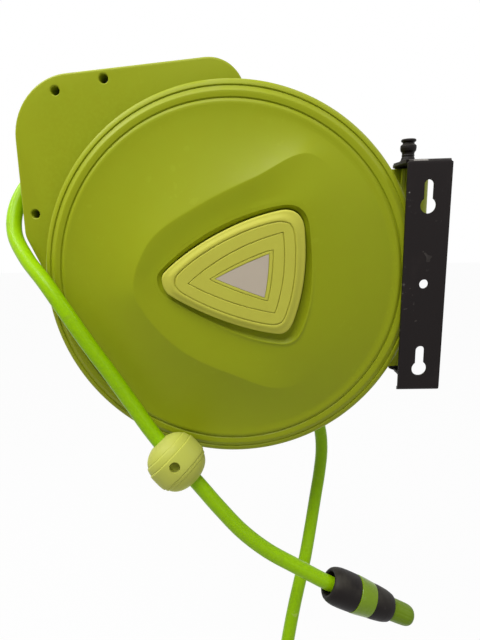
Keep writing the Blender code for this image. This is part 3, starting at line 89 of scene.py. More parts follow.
# %% Place the camera
def camera_axes(yaw, pitch, roll):
    """Right, up and forward for a camera that looks along +Y before its turns."""
    forward = Vector((math.sin(yaw) * math.cos(pitch), math.cos(yaw) * math.cos(pitch),
                      -math.sin(pitch)))
    right = Vector((math.cos(yaw), -math.sin(yaw), 0))
    up = right.cross(forward)
    return (right * math.cos(roll) - up * math.sin(roll),
            up * math.cos(roll) + right * math.sin(roll), forward)


CAMERA_AT = (-0.1714, -0.5123, 0.0453)
YAW, PITCH, ROLL = (math.radians(turn) for turn in (-2.34, 12.9, 1.57))
lens = bpy.data.cameras.new("photo_camera")
lens.lens, lens.sensor_width, lens.clip_start = 27.63, 36.0, 0.01
camera = bpy.data.objects.new("photo_camera", lens)
scene.collection.objects.link(camera)
right, up, forward = camera_axes(YAW, PITCH, ROLL)
camera.matrix_world = Matrix((
    *((right[i], up[i], -forward[i], CAMERA_AT[i]) for i in range(3)), (0, 0, 0, 1)))
scene.camera = camera
print("camera looks along", [round(c, 3) for c in forward])

# %% [markdown]
# ## The hoses
#
# A hose is one round section carried along a line, so a curve with a bevel depth is the plain
# choice: it stays editable, and its length can be measured. The route is given by knots. Each
# knot gets handles a sixth of the way between its neighbours, which draws a smooth curve through
# all of them, and a hose never shows a corner. The leader leaves the outlet between its rollers,
# falls across the disc and ends in the nozzle. The inlet hose hangs from its gland into a coil.

# %% Routes of the hoses
HOSE_R = 0.00825
HOUSING_WALL_R = 0.188
RUN_ROUTE = (
    (-0.002, 0.0045, 0.1400), (-0.060, 0.004, 0.1400), (-0.120, 0.002, 0.1400),
    (-0.165, 0.000, 0.1393), (-0.200, -0.001, 0.1330))
OUTLET = (-0.226, -0.009, 0.1155)
LEADER_ROUTE = (
    (-0.2415, -0.025, 0.0860), (-0.2395, -0.0445, 0.0550), (-0.220, -0.0655, 0.0285),
    (-0.194, -0.084, 0.0030), (-0.171, -0.0925, -0.029), (-0.151, -0.094, -0.062),
    (-0.131, -0.094, -0.094), (-0.111, -0.0945, -0.127), (-0.0905, -0.0975, -0.159),
    (-0.067, -0.103, -0.1885), (-0.042, -0.108, -0.2145), (-0.017, -0.113, -0.244),
    (0.008, -0.116, -0.272), (0.036, -0.1155, -0.297), (0.068, -0.1145, -0.318),
    (0.103, -0.114, -0.3396))
NOZZLE_MOUTH = Vector(LEADER_ROUTE[-1])
NOZZLE_WAY = Vector((0.875, 0.072, -0.478)).normalized()
INLET_WAY = Vector((math.cos(math.radians(-62)), 0, math.sin(math.radians(-62))))
INLET_BACK = 0.0465
INLET_ROUTE = (
    (0.1055, 0.045, -0.2040), (0.1125, 0.043, -0.230), (0.114, 0.0395, -0.258),
    (0.1105, 0.034, -0.288), (0.1045, 0.025, -0.318), (0.096, 0.009, -0.356),
    (0.087, -0.012, -0.386), (0.079, -0.028, -0.408), (0.070, -0.045, -0.433),
    (0.061, -0.062, -0.465), (0.054, -0.074, -0.500), (0.0507, -0.0795, -0.530),
    (0.0500, -0.0818, -0.558))
COIL_CENTRE = Vector((-0.043, -0.082, -0.601))
COIL_R, COIL_TURNS, COIL_PITCH, COIL_END_OUT = 0.093, 2.5, 0.0170, 0.012

print(len(LEADER_ROUTE), "knots for the leader,", len(INLET_ROUTE), "for the inlet hose")


# %% Knots of the coil, and the whole routes
def inlet_point(radius):
    """A point on the inlet's line, at a distance from the drum's axis."""
    return INLET_WAY * radius + Vector((0, INLET_BACK, 0))


def coil_knots(per_turn=24):
    """The coil's turns, which step back a pitch a turn, the last half turn a little further."""
    knots = []
    for i in range(round(COIL_TURNS * per_turn) + 1):
        turn = i / per_turn
        last = smoothstep((turn - COIL_TURNS + 0.5) / 0.5)
        back = COIL_PITCH * turn + COIL_END_OUT * last
        angle = math.tau * turn
        knots.append(COIL_CENTRE + Vector((COIL_R * math.cos(angle), back,
                                           -COIL_R * math.sin(angle))))
    return knots


coil = coil_knots()
straight = UP * 2 * HOSE_R
gland_mouth = inlet_point(HOUSING_WALL_R + 0.0045)
inlet_knots = [gland_mouth, gland_mouth + INLET_WAY * 0.016, *INLET_ROUTE,
               coil[0] + straight, *coil, coil[-1] + straight]
leader_knots = [OUTLET, *LEADER_ROUTE, NOZZLE_MOUTH + NOZZLE_WAY * 0.022]
print("the coil has", len(coil), "knots")


# %% Draw a hose along its knots
def tangents(knots, before=None, after=None):
    """A third of each knot's travel, from its two neighbours, one-sided at a free end."""
    points = [Vector(k) for k in knots]
    first = Vector(before) if before else points[0] * 2 - points[1]
    last = Vector(after) if after else points[-1] * 2 - points[-2]
    around = [first, *points, last]
    return points, [(around[i + 2] - around[i]) / 6 for i in range(len(points))]


def hose(name, knots, radius=HOSE_R, before=None, after=None, rounds=7, smooth=8):
    """A round tube along knots; before and after are knots of the hose that joins it."""
    points, ways = tangents(knots, before, after)
    curve = bpy.data.curves.new(name, "CURVE")
    curve.dimensions = "3D"
    curve.bevel_depth = radius
    curve.bevel_resolution = rounds
    curve.resolution_u = smooth
    curve.use_fill_caps = True
    spline = curve.splines.new("BEZIER")
    spline.bezier_points.add(len(points) - 1)
    for knot, point, way in zip(spline.bezier_points, points, ways):
        knot.co = point + DRUM_AT
        knot.handle_left_type = knot.handle_right_type = "FREE"
        knot.handle_left = point + DRUM_AT - way
        knot.handle_right = point + DRUM_AT + way
    drawn = bpy.data.objects.new(name, curve)
    scene.collection.objects.link(drawn)
    return drawn


def spline_length(drawn):
    """The length of a hose's centre line."""
    return drawn.data.splines[0].calc_length()


leader = hose("leader", leader_knots, before=RUN_ROUTE[-1])
run = hose("run_inside", [*RUN_ROUTE, OUTLET], after=LEADER_ROUTE[0])
inlet = hose("inlet_and_coil", inlet_knots, rounds=6, smooth=6)
tail = hose("inlet_inside", [inlet_point(0.0453), gland_mouth])
print("leader", round(spline_length(leader), 4), "inlet", round(spline_length(inlet), 4))

# %% [markdown]
# The drum's stored hose is a helix on top of a plain core of inner layers. Only the outer layer
# is ever seen, past the rollers, so only that one winds.

# %% Wind the stored hose
WIND_FRONT, WIND_BACK, FLANGE_GAP = 0.057, -0.031, 0.0004
FIT = 0.0003
WOUND_R = RUN_ROUTE[0][2] - 2 * HOSE_R - FIT
WOUND_TURNS = 5


def helix_knots(turns, per_turn=24):
    """Even turns side by side, from the front flange to the rear one."""
    count = turns * per_turn
    start, end = WIND_FRONT - HOSE_R - FLANGE_GAP, WIND_BACK + HOSE_R + FLANGE_GAP
    knots = []
    for i in range(count + 1):
        angle = math.tau * i / per_turn
        depth = start + (end - start) * i / count
        knots.append(Vector((WOUND_R * math.sin(angle), -depth, WOUND_R * math.cos(angle))))
    return knots


winding = hose("wound_layer", helix_knots(WOUND_TURNS), rounds=4, smooth=4)
print("outer layer", round(spline_length(winding), 3), "m of hose")

# %% [markdown]
# ## Helpers that shape a piece
#
# Most pieces of the reel are one of three kinds. Turned ones start as a chain of vertices, half
# a silhouette, which spin carries round an axis. Slabs start as one flat face, whose corners a
# vertex bevel rounds, and which is then pushed up and eased along its edges. Openings are
# carved with a tool shape, as a cutter would. Real mouldings have no razor edges, so a profile
# is eased at every corner before it is spun, and light catches it there.

# %% Close a mesh and put it in its place
MERGE = 0.0000005


def open_piece(name, shape):
    """A bmesh as an object, left where it is."""
    mesh = bpy.data.meshes.new(name)
    shape.to_mesh(mesh)
    shape.free()
    made = bpy.data.objects.new(name, mesh)
    scene.collection.objects.link(made)
    return made


def shade(made, angle=32):
    """Smooth faces, with a crisp edge where two meet at more than an angle."""
    made.data.shade_smooth()
    made.data.set_sharp_from_angle(angle=math.radians(angle))
    return made


def finish(name, shape, angle=32):
    """Turn a bmesh into an object: closed, normals outward, moved to where the frame has it."""
    bmesh.ops.remove_doubles(shape, verts=shape.verts, dist=MERGE)
    bmesh.ops.recalc_face_normals(shape, faces=shape.faces)
    bmesh.ops.translate(shape, vec=DRUM_AT, verts=shape.verts)
    return shade(open_piece(name, shape), angle)


def moved(made, vec):
    """Shift a piece's mesh; its object stays at the origin."""
    made.data.transform(Matrix.Translation(vec))
    return made


# %% Turn a piece on the lathe
def facing(direction):
    """The turn that takes +Z to a direction."""
    return Vector(direction).to_track_quat("Z", "Y").to_matrix().to_4x4()


def eased(profile, radius, closed=False, steps=3):
    """The profile with each corner swapped for a small curve."""
    points = [Vector(p) for p in profile]
    if radius == 0:
        return points
    count = len(points)
    soft = []
    for i, point in enumerate(points):
        if not closed and i in (0, count - 1):
            soft.append(point)
            continue
        back, on = points[i - 1] - point, points[(i + 1) % count] - point
        start = point + back.normalized() * min(radius, back.length * 0.45)
        end = point + on.normalized() * min(radius, on.length * 0.45)
        for step in range(steps + 1):
            t = step / steps
            soft.append(start * (1 - t) ** 2 + point * 2 * t * (1 - t) + end * t ** 2)
    return soft


def chain_of(shape, points):
    """A row of vertices and the edges that join them."""
    row = [shape.verts.new(p) for p in points]
    return row, [shape.edges.new(pair) for pair in zip(row, row[1:])]


def spin_round(shape, geom, axis, steps):
    """Carry a chain once round an axis through the origin."""
    bmesh.ops.spin(shape, geom=geom, cent=(0, 0, 0), axis=axis, dvec=(0, 0, 0),
                   angle=math.tau, steps=steps, use_merge=True, use_duplicate=False)


def lathe(name, profile, at=(0, 0, 0), axis=FRONT, steps=64, ease=0.0005, closed=False):
    """A turned piece: (radius, height) pairs, eased and spun about an axis."""
    shape = bmesh.new()
    row, links = chain_of(shape, [(p.x, 0, p.y) for p in eased(profile, ease, closed)])
    if closed:
        links.append(shape.edges.new((row[-1], row[0])))
    spin_round(shape, row + links, (0, 0, 1), steps)
    bmesh.ops.remove_doubles(shape, verts=shape.verts, dist=MERGE)
    bmesh.ops.transform(shape, matrix=Matrix.Translation(at) @ facing(axis), verts=shape.verts)
    return finish(name, shape)


# %% Push a flat outline into a slab
def on_face(side):
    """Takes a slab drawn flat to the disc's plane, its height pointing out of that side."""
    return Matrix(((1, 0, 0, 0), (0, 0, side, 0), (0, 1, 0, 0), (0, 0, 0, 1)))


SUPPORT = 0.0006
ON_PLAN = Matrix.Identity(4)
ACROSS = Matrix(((0, 0, 1, 0), (1, 0, 0, 0), (0, 1, 0, 0), (0, 0, 0, 1)))


def round_off(shape, geom, amount, segments, affect="EDGES"):
    """Bevel edges or corners to a round."""
    bmesh.ops.bevel(shape, geom=geom, offset=amount, offset_type="OFFSET", segments=segments,
                    profile=0.5, affect=affect, material=-1)


def rounded_face(shape, corners, low):
    """One flat face from (u, v, radius) corners, each rounded by a vertex bevel."""
    verts = [shape.verts.new((u, v, low)) for u, v, radius in corners]
    shape.faces.new(verts)
    for i, (u, v, radius) in enumerate(corners):
        if radius:
            here = Vector((u, v))
            back = (Vector(corners[i - 1][:2]) - here).normalized()
            on = (Vector(corners[(i + 1) % len(corners)][:2]) - here).normalized()
            round_off(shape, [verts[i]], radius / math.tan(back.angle(on) / 2), 14, "VERTICES")
    return shape.faces[:][0]


def new_verts(pushed):
    """The vertices that an extrusion made."""
    return [g for g in pushed["geom"] if isinstance(g, bmesh.types.BMVert)]


def push_up(shape, face, height):
    """Extrude a lone face by a height and return the new one; the first stays as the base."""
    pushed = bmesh.ops.extrude_face_region(shape, geom=[face])
    bmesh.ops.translate(shape, vec=(0, 0, height), verts=new_verts(pushed))
    return next(g for g in pushed["geom"] if isinstance(g, bmesh.types.BMFace))


def level(things, height):
    """The edges or faces that lie flat at a height."""
    return [g for g in things if all(abs(v.co.z - height) < 1e-6 for v in g.verts)]


def slab(name, corners, low, high, plane, ease=0.0, ease_low=0.0):
    """A flat outline pushed from one height to another, its top and bottom edges eased."""
    shape = bmesh.new()
    push_up(shape, rounded_face(shape, corners, low), high - low)
    for height, amount in ((high, ease), (low, ease_low)):
        if amount:
            round_off(shape, level(shape.edges, height), amount, 4)
            bmesh.ops.inset_region(shape, faces=level(shape.faces, height),
                                   thickness=SUPPORT, use_even_offset=True)
    bmesh.ops.transform(shape, matrix=plane, verts=shape.verts)
    return finish(name, shape)


# %% Cut, join and soften
def baked(made):
    """The mesh that an object shows, its modifiers or its curve's thickness in it."""
    graph = bpy.context.evaluated_depsgraph_get()
    graph.update()
    return bpy.data.meshes.new_from_object(made.evaluated_get(graph))


def settle(made):
    """Make a piece's modifiers part of its mesh."""
    mesh = baked(made)
    made.modifiers.clear()
    made.data = mesh
    return made


def carve(target, tools, operation="DIFFERENCE", angle=32):
    """Cut or join with tool shapes, keep the result as the mesh, and put the tools away."""
    for tool in tools:
        step = target.modifiers.new(tool.name, "BOOLEAN")
        step.object, step.operation, step.solver = tool, operation, "EXACT"
    settle(target).data.name = target.name
    for tool in tools:
        bpy.data.objects.remove(tool)
    return shade(target, angle)


def thicken(made, thickness, offset, even):
    """Give a sheet its wall with Solidify."""
    wall_step = made.modifiers.new("wall", "SOLIDIFY")
    wall_step.thickness, wall_step.offset = thickness, offset
    wall_step.use_even_offset = even
    return settle(made)


def soften(made, width, segments, above=30):
    """Round every edge that turns by more than an angle, with a Bevel that stays live."""
    edge = made.modifiers.new("edge", "BEVEL")
    edge.width, edge.segments, edge.limit_method = width, segments, "ANGLE"
    edge.angle_limit = math.radians(above)
    edge.harden_normals = True
    return made


print("helpers for turned pieces, slabs and cuts are ready")

# %% [markdown]
# ## Finishes
#
# The reel has few materials: green, pale and black mouldings, a glossy hose, powder-coated
# steel, plain steel, rubber and brass. None of them is one flat colour. Each effect that they
# share is a small node group: the fine grain that a mould leaves, the marks of handling, dust
# on what faces up, and wear where an edge stands proud. All of them read object coordinates,
# so that a pattern has its real size and stays put when a joint moves.

# %% Colours and nodes
def ink(r, g, b):
    """A colour as seen on a screen, 0 to 255, as the linear one that a shader takes."""
    def linear(c):
        c /= 255
        return c / 12.92 if c <= 0.04045 else ((c + 0.055) / 1.055) ** 2.4
    return (linear(r), linear(g), linear(b), 1)


def add_node(tree, kind, props=None, inputs=None):
    """A node with its properties and inputs set, an input being a value or another socket."""
    new = tree.nodes.new("ShaderNode" + kind)
    for key, value in (props or {}).items():
        setattr(new, key, value)
    for key, value in (inputs or {}).items():
        if isinstance(value, bpy.types.NodeSocket):
            tree.links.new(value, new.inputs[key])
        else:
            new.inputs[key].default_value = value
    return new


def new_group(name, inputs, outputs):
    """An empty node group with its named sockets."""
    tree = bpy.data.node_groups.new(name, "ShaderNodeTree")
    for label, kind, value in inputs:
        tree.interface.new_socket(label, in_out="INPUT",
                                  socket_type="NodeSocket" + kind).default_value = value
    for label, kind in outputs:
        tree.interface.new_socket(label, in_out="OUTPUT", socket_type="NodeSocket" + kind)
    return tree, tree.nodes.new("NodeGroupInput").outputs, tree.nodes.new("NodeGroupOutput").inputs


# %% Arithmetic, colours and patterns
def calc(tree, operation, a, b=0.0, c=0.0):
    """One step of arithmetic."""
    return add_node(tree, "Math", {"operation": operation}, {0: a, 1: b, 2: c}).outputs[0]


def blend_colour(tree, factor, first, second):
    """The first colour, giving way to the second as the factor grows."""
    return add_node(tree, "Mix", {"data_type": "RGBA"},
                    {0: factor, 6: first, 7: second}).outputs[2]


def object_place(tree, stretch=(1, 1, 1), turn=(0, 0, 0)):
    """Where a point lies on the object, in metres, stretched and turned."""
    spot = add_node(tree, "TexCoord").outputs["Object"]
    return add_node(tree, "Mapping", None, {"Vector": spot, "Scale": stretch,
                                            "Rotation": turn}).outputs[0]


def noise(tree, scale, detail=2.0, stretch=(1, 1, 1), turn=(0, 0, 0)):
    """A cloudy pattern; a higher scale makes smaller clouds."""
    return add_node(tree, "TexNoise", None, {
        "Vector": object_place(tree, stretch, turn), "Scale": scale, "Detail": detail}).outputs[0]


def ramp(tree, value, low, high, start=0.0, end=1.0):
    """Nothing below one value, all above another, smooth between."""
    return add_node(tree, "MapRange", {"interpolation_type": "SMOOTHSTEP"}, {
        "Value": value, "From Min": low, "From Max": high, "To Min": start,
        "To Max": end}).outputs[0]


# %% Groups: moulded grain and broad colour
def make_grain():
    """The colour drifts a little over a few centimetres; the surface is stippled by the mould."""
    tree, given, out = new_group("moulded_grain", [
        ("Colour", "Color", (0.5, 0.5, 0.5, 1)), ("Drift", "Float", 0.2), ("Grain", "Float", 0.5),
        ("Grain Scale", "Float", 1500.0), ("Roughness", "Float", 0.5)],
        [("Colour", "Color"), ("Roughness", "Float"), ("Height", "Float")])
    broad = noise(tree, 11.0, 3.0)
    patchy = noise(tree, 65.0, 4.0)
    value = calc(tree, "MULTIPLY_ADD", calc(tree, "SUBTRACT", broad, 0.5), given["Drift"], 1.0)
    fine_value = calc(tree, "MULTIPLY_ADD", calc(tree, "SUBTRACT", patchy, 0.5), 0.06, value)
    hue = calc(tree, "MULTIPLY_ADD", calc(tree, "SUBTRACT", patchy, 0.5), 0.008, 0.5)
    shift = add_node(tree, "HueSaturation", None, {
        "Hue": hue, "Saturation": 1.0, "Value": fine_value, "Color": given["Colour"]}).outputs[0]
    stipple = noise(tree, given["Grain Scale"], 2.0)
    pocks = noise(tree, 420.0, 1.0)
    height = calc(tree, "MULTIPLY_ADD", pocks, 0.5, stipple)
    tree.links.new(shift, out["Colour"])
    tree.links.new(calc(tree, "MULTIPLY_ADD", calc(tree, "SUBTRACT", patchy, 0.5), 0.16,
                        given["Roughness"]), out["Roughness"])
    tree.links.new(calc(tree, "MULTIPLY", height, given["Grain"]), out["Height"])
    return tree


# %% Groups: handling marks, dust and worn edges
def make_marks():
    """Hairline scratches in three directions and a few rubbed patches."""
    tree, given, out = new_group("handling_marks", [("Amount", "Float", 0.5)],
                                 [("Scratch", "Float"), ("Rub", "Float")])
    hairs = None
    for turn, scale in (((0.3, 0.5, 0.2), 150.0), ((0.9, -0.7, 1.1), 190.0),
                        ((2.0, 1.4, -0.6), 120.0)):
        stretched = noise(tree, scale, 0.0, (1.0, 0.035, 1.0), turn)
        hair = ramp(tree, stretched, 0.765, 0.80)
        hairs = hair if hairs is None else calc(tree, "MAXIMUM", hairs, hair)
    place = ramp(tree, noise(tree, 22.0, 3.0), 0.50, 0.68)
    tree.links.new(calc(tree, "MULTIPLY", calc(tree, "MULTIPLY", hairs, place), given["Amount"]),
                   out["Scratch"])
    rubbed = ramp(tree, noise(tree, 34.0, 5.0), 0.58, 0.72)
    tree.links.new(calc(tree, "MULTIPLY", rubbed, given["Amount"]), out["Rub"])
    return tree


def make_dust():
    """Dust lies on faces that look up, in patches."""
    tree, given, out = new_group("settled_dust", [("Amount", "Float", 0.5)], [("Mask", "Float")])
    normal = add_node(tree, "NewGeometry").outputs["Normal"]
    height = add_node(tree, "SeparateXYZ", None, {0: normal}).outputs[2]
    upward = ramp(tree, height, 0.15, 0.95)
    patches = ramp(tree, noise(tree, 48.0, 6.0), 0.30, 0.75)
    tree.links.new(calc(tree, "MULTIPLY", calc(tree, "MULTIPLY", upward, patches),
                        given["Amount"]), out["Mask"])
    return tree


def make_wear():
    """Where the surface turns outwards sharply, rubbing has taken the finish thin."""
    tree, given, out = new_group("worn_edges", [("Amount", "Float", 0.5)], [("Mask", "Float")])
    proud = ramp(tree, add_node(tree, "NewGeometry").outputs["Pointiness"], 0.52, 0.60)
    broken = ramp(tree, noise(tree, 260.0, 4.0), 0.38, 0.66)
    tree.links.new(calc(tree, "MULTIPLY", calc(tree, "MULTIPLY", proud, broken),
                        given["Amount"]), out["Mask"])
    return tree


GRAIN, MARKS, DUST, WEAR = make_grain(), make_marks(), make_dust(), make_wear()
print("effect groups:", [g.name for g in (GRAIN, MARKS, DUST, WEAR)])


# %% Place a group and plug a shader
def use_group(tree, group, **values):
    """Place an effect group with its own values, and hand over what it gives."""
    new = tree.nodes.new("ShaderNodeGroup")
    new.node_tree = group
    for key, value in values.items():
        socket = new.inputs[key.replace("_", " ")]
        if isinstance(value, bpy.types.NodeSocket):
            tree.links.new(value, socket)
        else:
            socket.default_value = value
    return new.outputs


def new_material(name):
    """A material with its node tree and its Principled shader."""
    material = bpy.data.materials.new(name)
    material.use_nodes = True
    return material, material.node_tree, material.node_tree.nodes["Principled BSDF"]


def plug(tree, shader, colour, rough, height, strength, depth, **levels):
    """Lead a finish's colour, roughness and bump into its shader, and set the plain values."""
    bump = add_node(tree, "Bump", None, {"Height": height, "Strength": strength,
                                         "Distance": depth})
    for label, source in (("Base Color", colour), ("Roughness", rough),
                          ("Normal", bump.outputs[0])):
        tree.links.new(source, shader.inputs[label])
    for label, value in levels.items():
        shader.inputs[label.replace("_", " ")].default_value = value


# %% Mouldings and bare metal
def moulding(name, colour, roughness, grain=0.5, scale=1500.0, drift=0.2, dust=0.5, marks=0.5,
             wear=0.3, pale=1.5, coat=0.0):
    """A moulded plastic: grain and drift below, then rubs, scratches, worn edges and dust."""
    material, tree, shader = new_material(name)
    base = use_group(tree, GRAIN, Colour=colour, Drift=drift, Grain=grain, Grain_Scale=scale,
                     Roughness=roughness)
    mark = use_group(tree, MARKS, Amount=marks)
    fade = use_group(tree, WEAR, Amount=wear)
    dusty = use_group(tree, DUST, Amount=dust)
    lighter = tuple(min(c * pale + 0.02, 0.9) for c in colour[:3]) + (1,)
    seen = blend_colour(tree, calc(tree, "MULTIPLY", mark["Scratch"], 0.6), base["Colour"],
                        lighter)
    seen = blend_colour(tree, fade["Mask"], seen, lighter)
    seen = blend_colour(tree, calc(tree, "MULTIPLY", dusty["Mask"], 0.35), seen,
                        ink(196, 190, 168))
    rough = calc(tree, "MULTIPLY_ADD", mark["Rub"], -0.10, base["Roughness"])
    rough = calc(tree, "MULTIPLY_ADD", mark["Scratch"], 0.15, rough)
    rough = calc(tree, "MULTIPLY_ADD", dusty["Mask"], 0.25, rough)
    height = calc(tree, "MULTIPLY_ADD", mark["Scratch"], -0.8, base["Height"])
    plug(tree, shader, seen, rough, height, 0.9, 0.00004, Specular_IOR_Level=0.16,
         Coat_Weight=coat)
    return material


def metal(name, colour, roughness):
    """Bare metal with fine drawn lines and a few dull spots."""
    material, tree, shader = new_material(name)
    lines = noise(tree, 1700.0, 2.0, (1, 1, 0.04))
    dull = ramp(tree, noise(tree, 120.0, 5.0), 0.52, 0.70)
    mark = use_group(tree, MARKS, Amount=0.7)
    seen = blend_colour(tree, calc(tree, "MULTIPLY", dull, 0.35), colour,
                        tuple(c * 0.6 for c in colour[:3]) + (1,))
    rough = calc(tree, "MULTIPLY_ADD", lines, 0.16, roughness - 0.08)
    rough = calc(tree, "MULTIPLY_ADD", dull, 0.14, rough)
    height = calc(tree, "MULTIPLY_ADD", mark["Scratch"], -1.0, lines)
    plug(tree, shader, seen, rough, height, 0.7, 0.00002, Metallic=1.0)
    return material


# %% [markdown]
# The hose is an extruded tube of soft PVC. It comes out glossy, its colour slightly deeper where
# the knitted strength layer below shows through, and it collects grey scuffs where it drags over
# the ground. The plate is powder-coated steel: an orange-peel skin, with bright metal where an
# edge or the wall screws have knocked it through.

# %% The hose's skin
def make_hose_skin():
    """Glossy soft plastic over its knitted layer, with scuffs and scratches."""
    material, tree, shader = new_material("soft_pvc_hose")
    base = use_group(tree, GRAIN, Colour=ink(150, 198, 4), Drift=0.14, Grain=0.35,
                     Grain_Scale=900.0, Roughness=0.30)
    knit = add_node(tree, "TexVoronoi", {"feature": "F1"}, {
        "Vector": object_place(tree), "Scale": 260.0}).outputs["Distance"]
    seen = blend_colour(tree, ramp(tree, knit, 0.2, 0.8, 0.0, 0.22), base["Colour"],
                        ink(126, 172, 2))
    mark = use_group(tree, MARKS, Amount=0.9)
    scuffed = calc(tree, "MULTIPLY", ramp(tree, noise(tree, 75.0, 6.0), 0.60, 0.74), 0.22)
    seen = blend_colour(tree, scuffed, seen, ink(126, 136, 62))
    seen = blend_colour(tree, calc(tree, "MULTIPLY", mark["Scratch"], 0.5), seen,
                        ink(190, 205, 110))
    rough = calc(tree, "MULTIPLY_ADD", scuffed, 0.8, base["Roughness"])
    height = calc(tree, "MULTIPLY_ADD", mark["Scratch"], -0.6, base["Height"])
    plug(tree, shader, seen, rough, height, 0.6, 0.00004, Coat_Weight=0.06,
         Coat_Roughness=0.12, Specular_IOR_Level=0.10)
    return material


# %% The plate's powder coat
BEND_Z, BEND_Y = DRUM_AT.z + 0.1152, DRUM_AT.y - 0.0752


def make_powder_coat():
    """Black orange-peel skin, chipped at edges and knocked bare along the plate's top bend."""
    material, tree, shader = new_material("black_powder_coat")
    base = use_group(tree, GRAIN, Colour=ink(28, 23, 23), Drift=0.25, Grain=1.0,
                     Grain_Scale=620.0, Roughness=0.50)
    mark = use_group(tree, MARKS, Amount=0.5)
    edge = use_group(tree, WEAR, Amount=1.0)
    dusty = use_group(tree, DUST, Amount=0.4)
    chips = ramp(tree, noise(tree, 38.0, 3.0), 0.60, 0.68)
    bare = calc(tree, "MULTIPLY", ramp(tree, edge["Mask"], 0.70, 0.95), chips)
    place = add_node(tree, "SeparateXYZ", None, {0: object_place(tree)}).outputs
    bend = calc(tree, "MULTIPLY", ramp(tree, place[2], BEND_Z, BEND_Z + 0.0014),
                ramp(tree, place[1], BEND_Y, BEND_Y - 0.0012))
    knocked = ramp(tree, noise(tree, 85.0, 2.0), 0.53, 0.57)
    bare = calc(tree, "MAXIMUM", bare, calc(tree, "MULTIPLY", bend, knocked))
    seen = blend_colour(tree, calc(tree, "MULTIPLY", mark["Rub"], 0.20), base["Colour"],
                        ink(60, 52, 50))
    seen = blend_colour(tree, calc(tree, "MULTIPLY", dusty["Mask"], 0.35), seen,
                        ink(150, 145, 136))
    seen = blend_colour(tree, calc(tree, "MULTIPLY", mark["Scratch"], 0.7), seen,
                        ink(126, 120, 114))
    seen = blend_colour(tree, bare, seen, ink(176, 172, 166))
    tree.links.new(calc(tree, "MULTIPLY", bare, 0.9), shader.inputs["Metallic"])
    rough = calc(tree, "MULTIPLY_ADD", bare, -0.16, base["Roughness"])
    height = calc(tree, "MULTIPLY_ADD", mark["Scratch"], -0.7, base["Height"])
    height = calc(tree, "MULTIPLY_ADD", bare, -0.6, height)
    plug(tree, shader, seen, rough, height, 0.8, 0.00007, Specular_IOR_Level=0.14)
    return material


# %% [markdown]
# Every moulding differs only in its values: colour, gloss, how coarse its grain is and how much
# it has been handled. The pale ball, the nozzle's band and its tip are close to a slot's colour
# but not the same, so they have a finish of their own.

# %% All the finishes
FINISHES = {
    "housing_green": moulding("green_housing", ink(150, 160, 22), 0.46, drift=0.08, dust=0.35,
                              grain=0.3, marks=0.22, wear=0.30, pale=1.35),
    "pale_green": moulding("pale_cap", ink(196, 194, 74), 0.58, drift=0.10, grain=0.8, dust=0.3,
                           marks=0.4, wear=0.2, pale=1.2),
    "label_grey": moulding("bare_label", ink(196, 183, 164), 0.42, drift=0.05, grain=0.2,
                           dust=0.2, marks=0.5, wear=0.0, pale=1.1),
    "moulded_black": moulding("black_moulding", ink(22, 17, 16), 0.48, drift=0.3, grain=0.7,
                              dust=0.18, marks=0.6, wear=0.2, pale=2.2),
    "drum_grey": moulding("grey_drum", ink(86, 86, 88), 0.50, drift=0.2, dust=0.5, pale=1.6),
    "rubber_black": moulding("dull_rubber", ink(34, 34, 35), 0.72, drift=0.3, grain=1.0,
                             scale=900.0, dust=0.4, marks=0.3, wear=0.1, pale=2.0),
    "hose_green": make_hose_skin(),
    "bracket_black": make_powder_coat(),
    "steel": metal("zinc_steel", ink(188, 190, 194), 0.34),
    "brass": metal("turned_brass", ink(196, 162, 92), 0.36),
}
PALE_BALL = moulding("pale_ball", ink(190, 194, 84), 0.50, drift=0.14, grain=0.6, dust=0.3,
                     marks=0.9, wear=0.3, pale=1.25)
TIP_LIME = moulding("lime_tip", ink(108, 137, 6), 0.36, drift=0.12, grain=0.4, dust=0.3,
                    marks=0.8, wear=0.5, pale=1.4)
BAND_LIME = moulding("lime_band", ink(118, 149, 4), 0.26, drift=0.08, grain=0.2, dust=0.1,
                     marks=0.6, wear=0.2, pale=1.3, coat=0.25)
print(len(FINISHES) + 3, "finishes")


def dress(piece, slot, body, *nodes, material=None):
    """Give a piece its finish, the body it rides on and the frame's nodes it stands for."""
    piece.data.materials.clear()
    piece.data.materials.append(material or FINISHES[slot])
    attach(piece, body)
    if nodes:
        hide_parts(*nodes)
    return piece


# %% [markdown]
# The drum, its spring, the ratchet and the water swivel are inside the closed housing. They keep
# the frame's own shapes, and each takes the finish of its stuff.

# %% The hidden works keep their shapes and take a finish
WORKS = {
    "drum_grey": ("drum_core", "front_flange", "rear_flange", "spring_cover"),
    "steel": ("mainspring", "stub_clamp", "spring_arbor", "pawl_pin", "pawl_spring",
              "inlet_clamp"),
    "brass": ("inlet_elbow", "outlet_stub"),
    "rubber_black": ("hub_seal_inner", "hub_seal_outer"),
    "moulded_black": ("pawl",),
}
for slot_name, names in WORKS.items():
    for name in names:
        for holder in bpy.data.objects[name].material_slots:
            holder.material = FINISHES[slot_name]
print("finished", sum(len(names) for names in WORKS.values()), "pieces of the works")

# %% Dress the hoses
CORE_R = 0.0545
layers_r = WOUND_R - 0.002
inner_layers = lathe("inner_layers", [
    (CORE_R, WIND_FRONT - FLANGE_GAP), (layers_r, WIND_FRONT - FLANGE_GAP),
    (layers_r, WIND_BACK + FLANGE_GAP), (CORE_R, WIND_BACK + FLANGE_GAP)],
    steps=96, ease=0, closed=True)
for piece, body_name, *nodes in (
        (leader, "reel", "leader_hose"), (run, "reel", "hose_run"),
        (inlet, "reel", "inlet_hose", "inlet_coil"), (tail, "reel", "inlet_tail"),
        (winding, "drum", "wound_hose"), (inner_layers, "drum", "wound_hose")):
    dress(piece, "hose_green", body_name, *nodes)
print("the hoses are dressed")

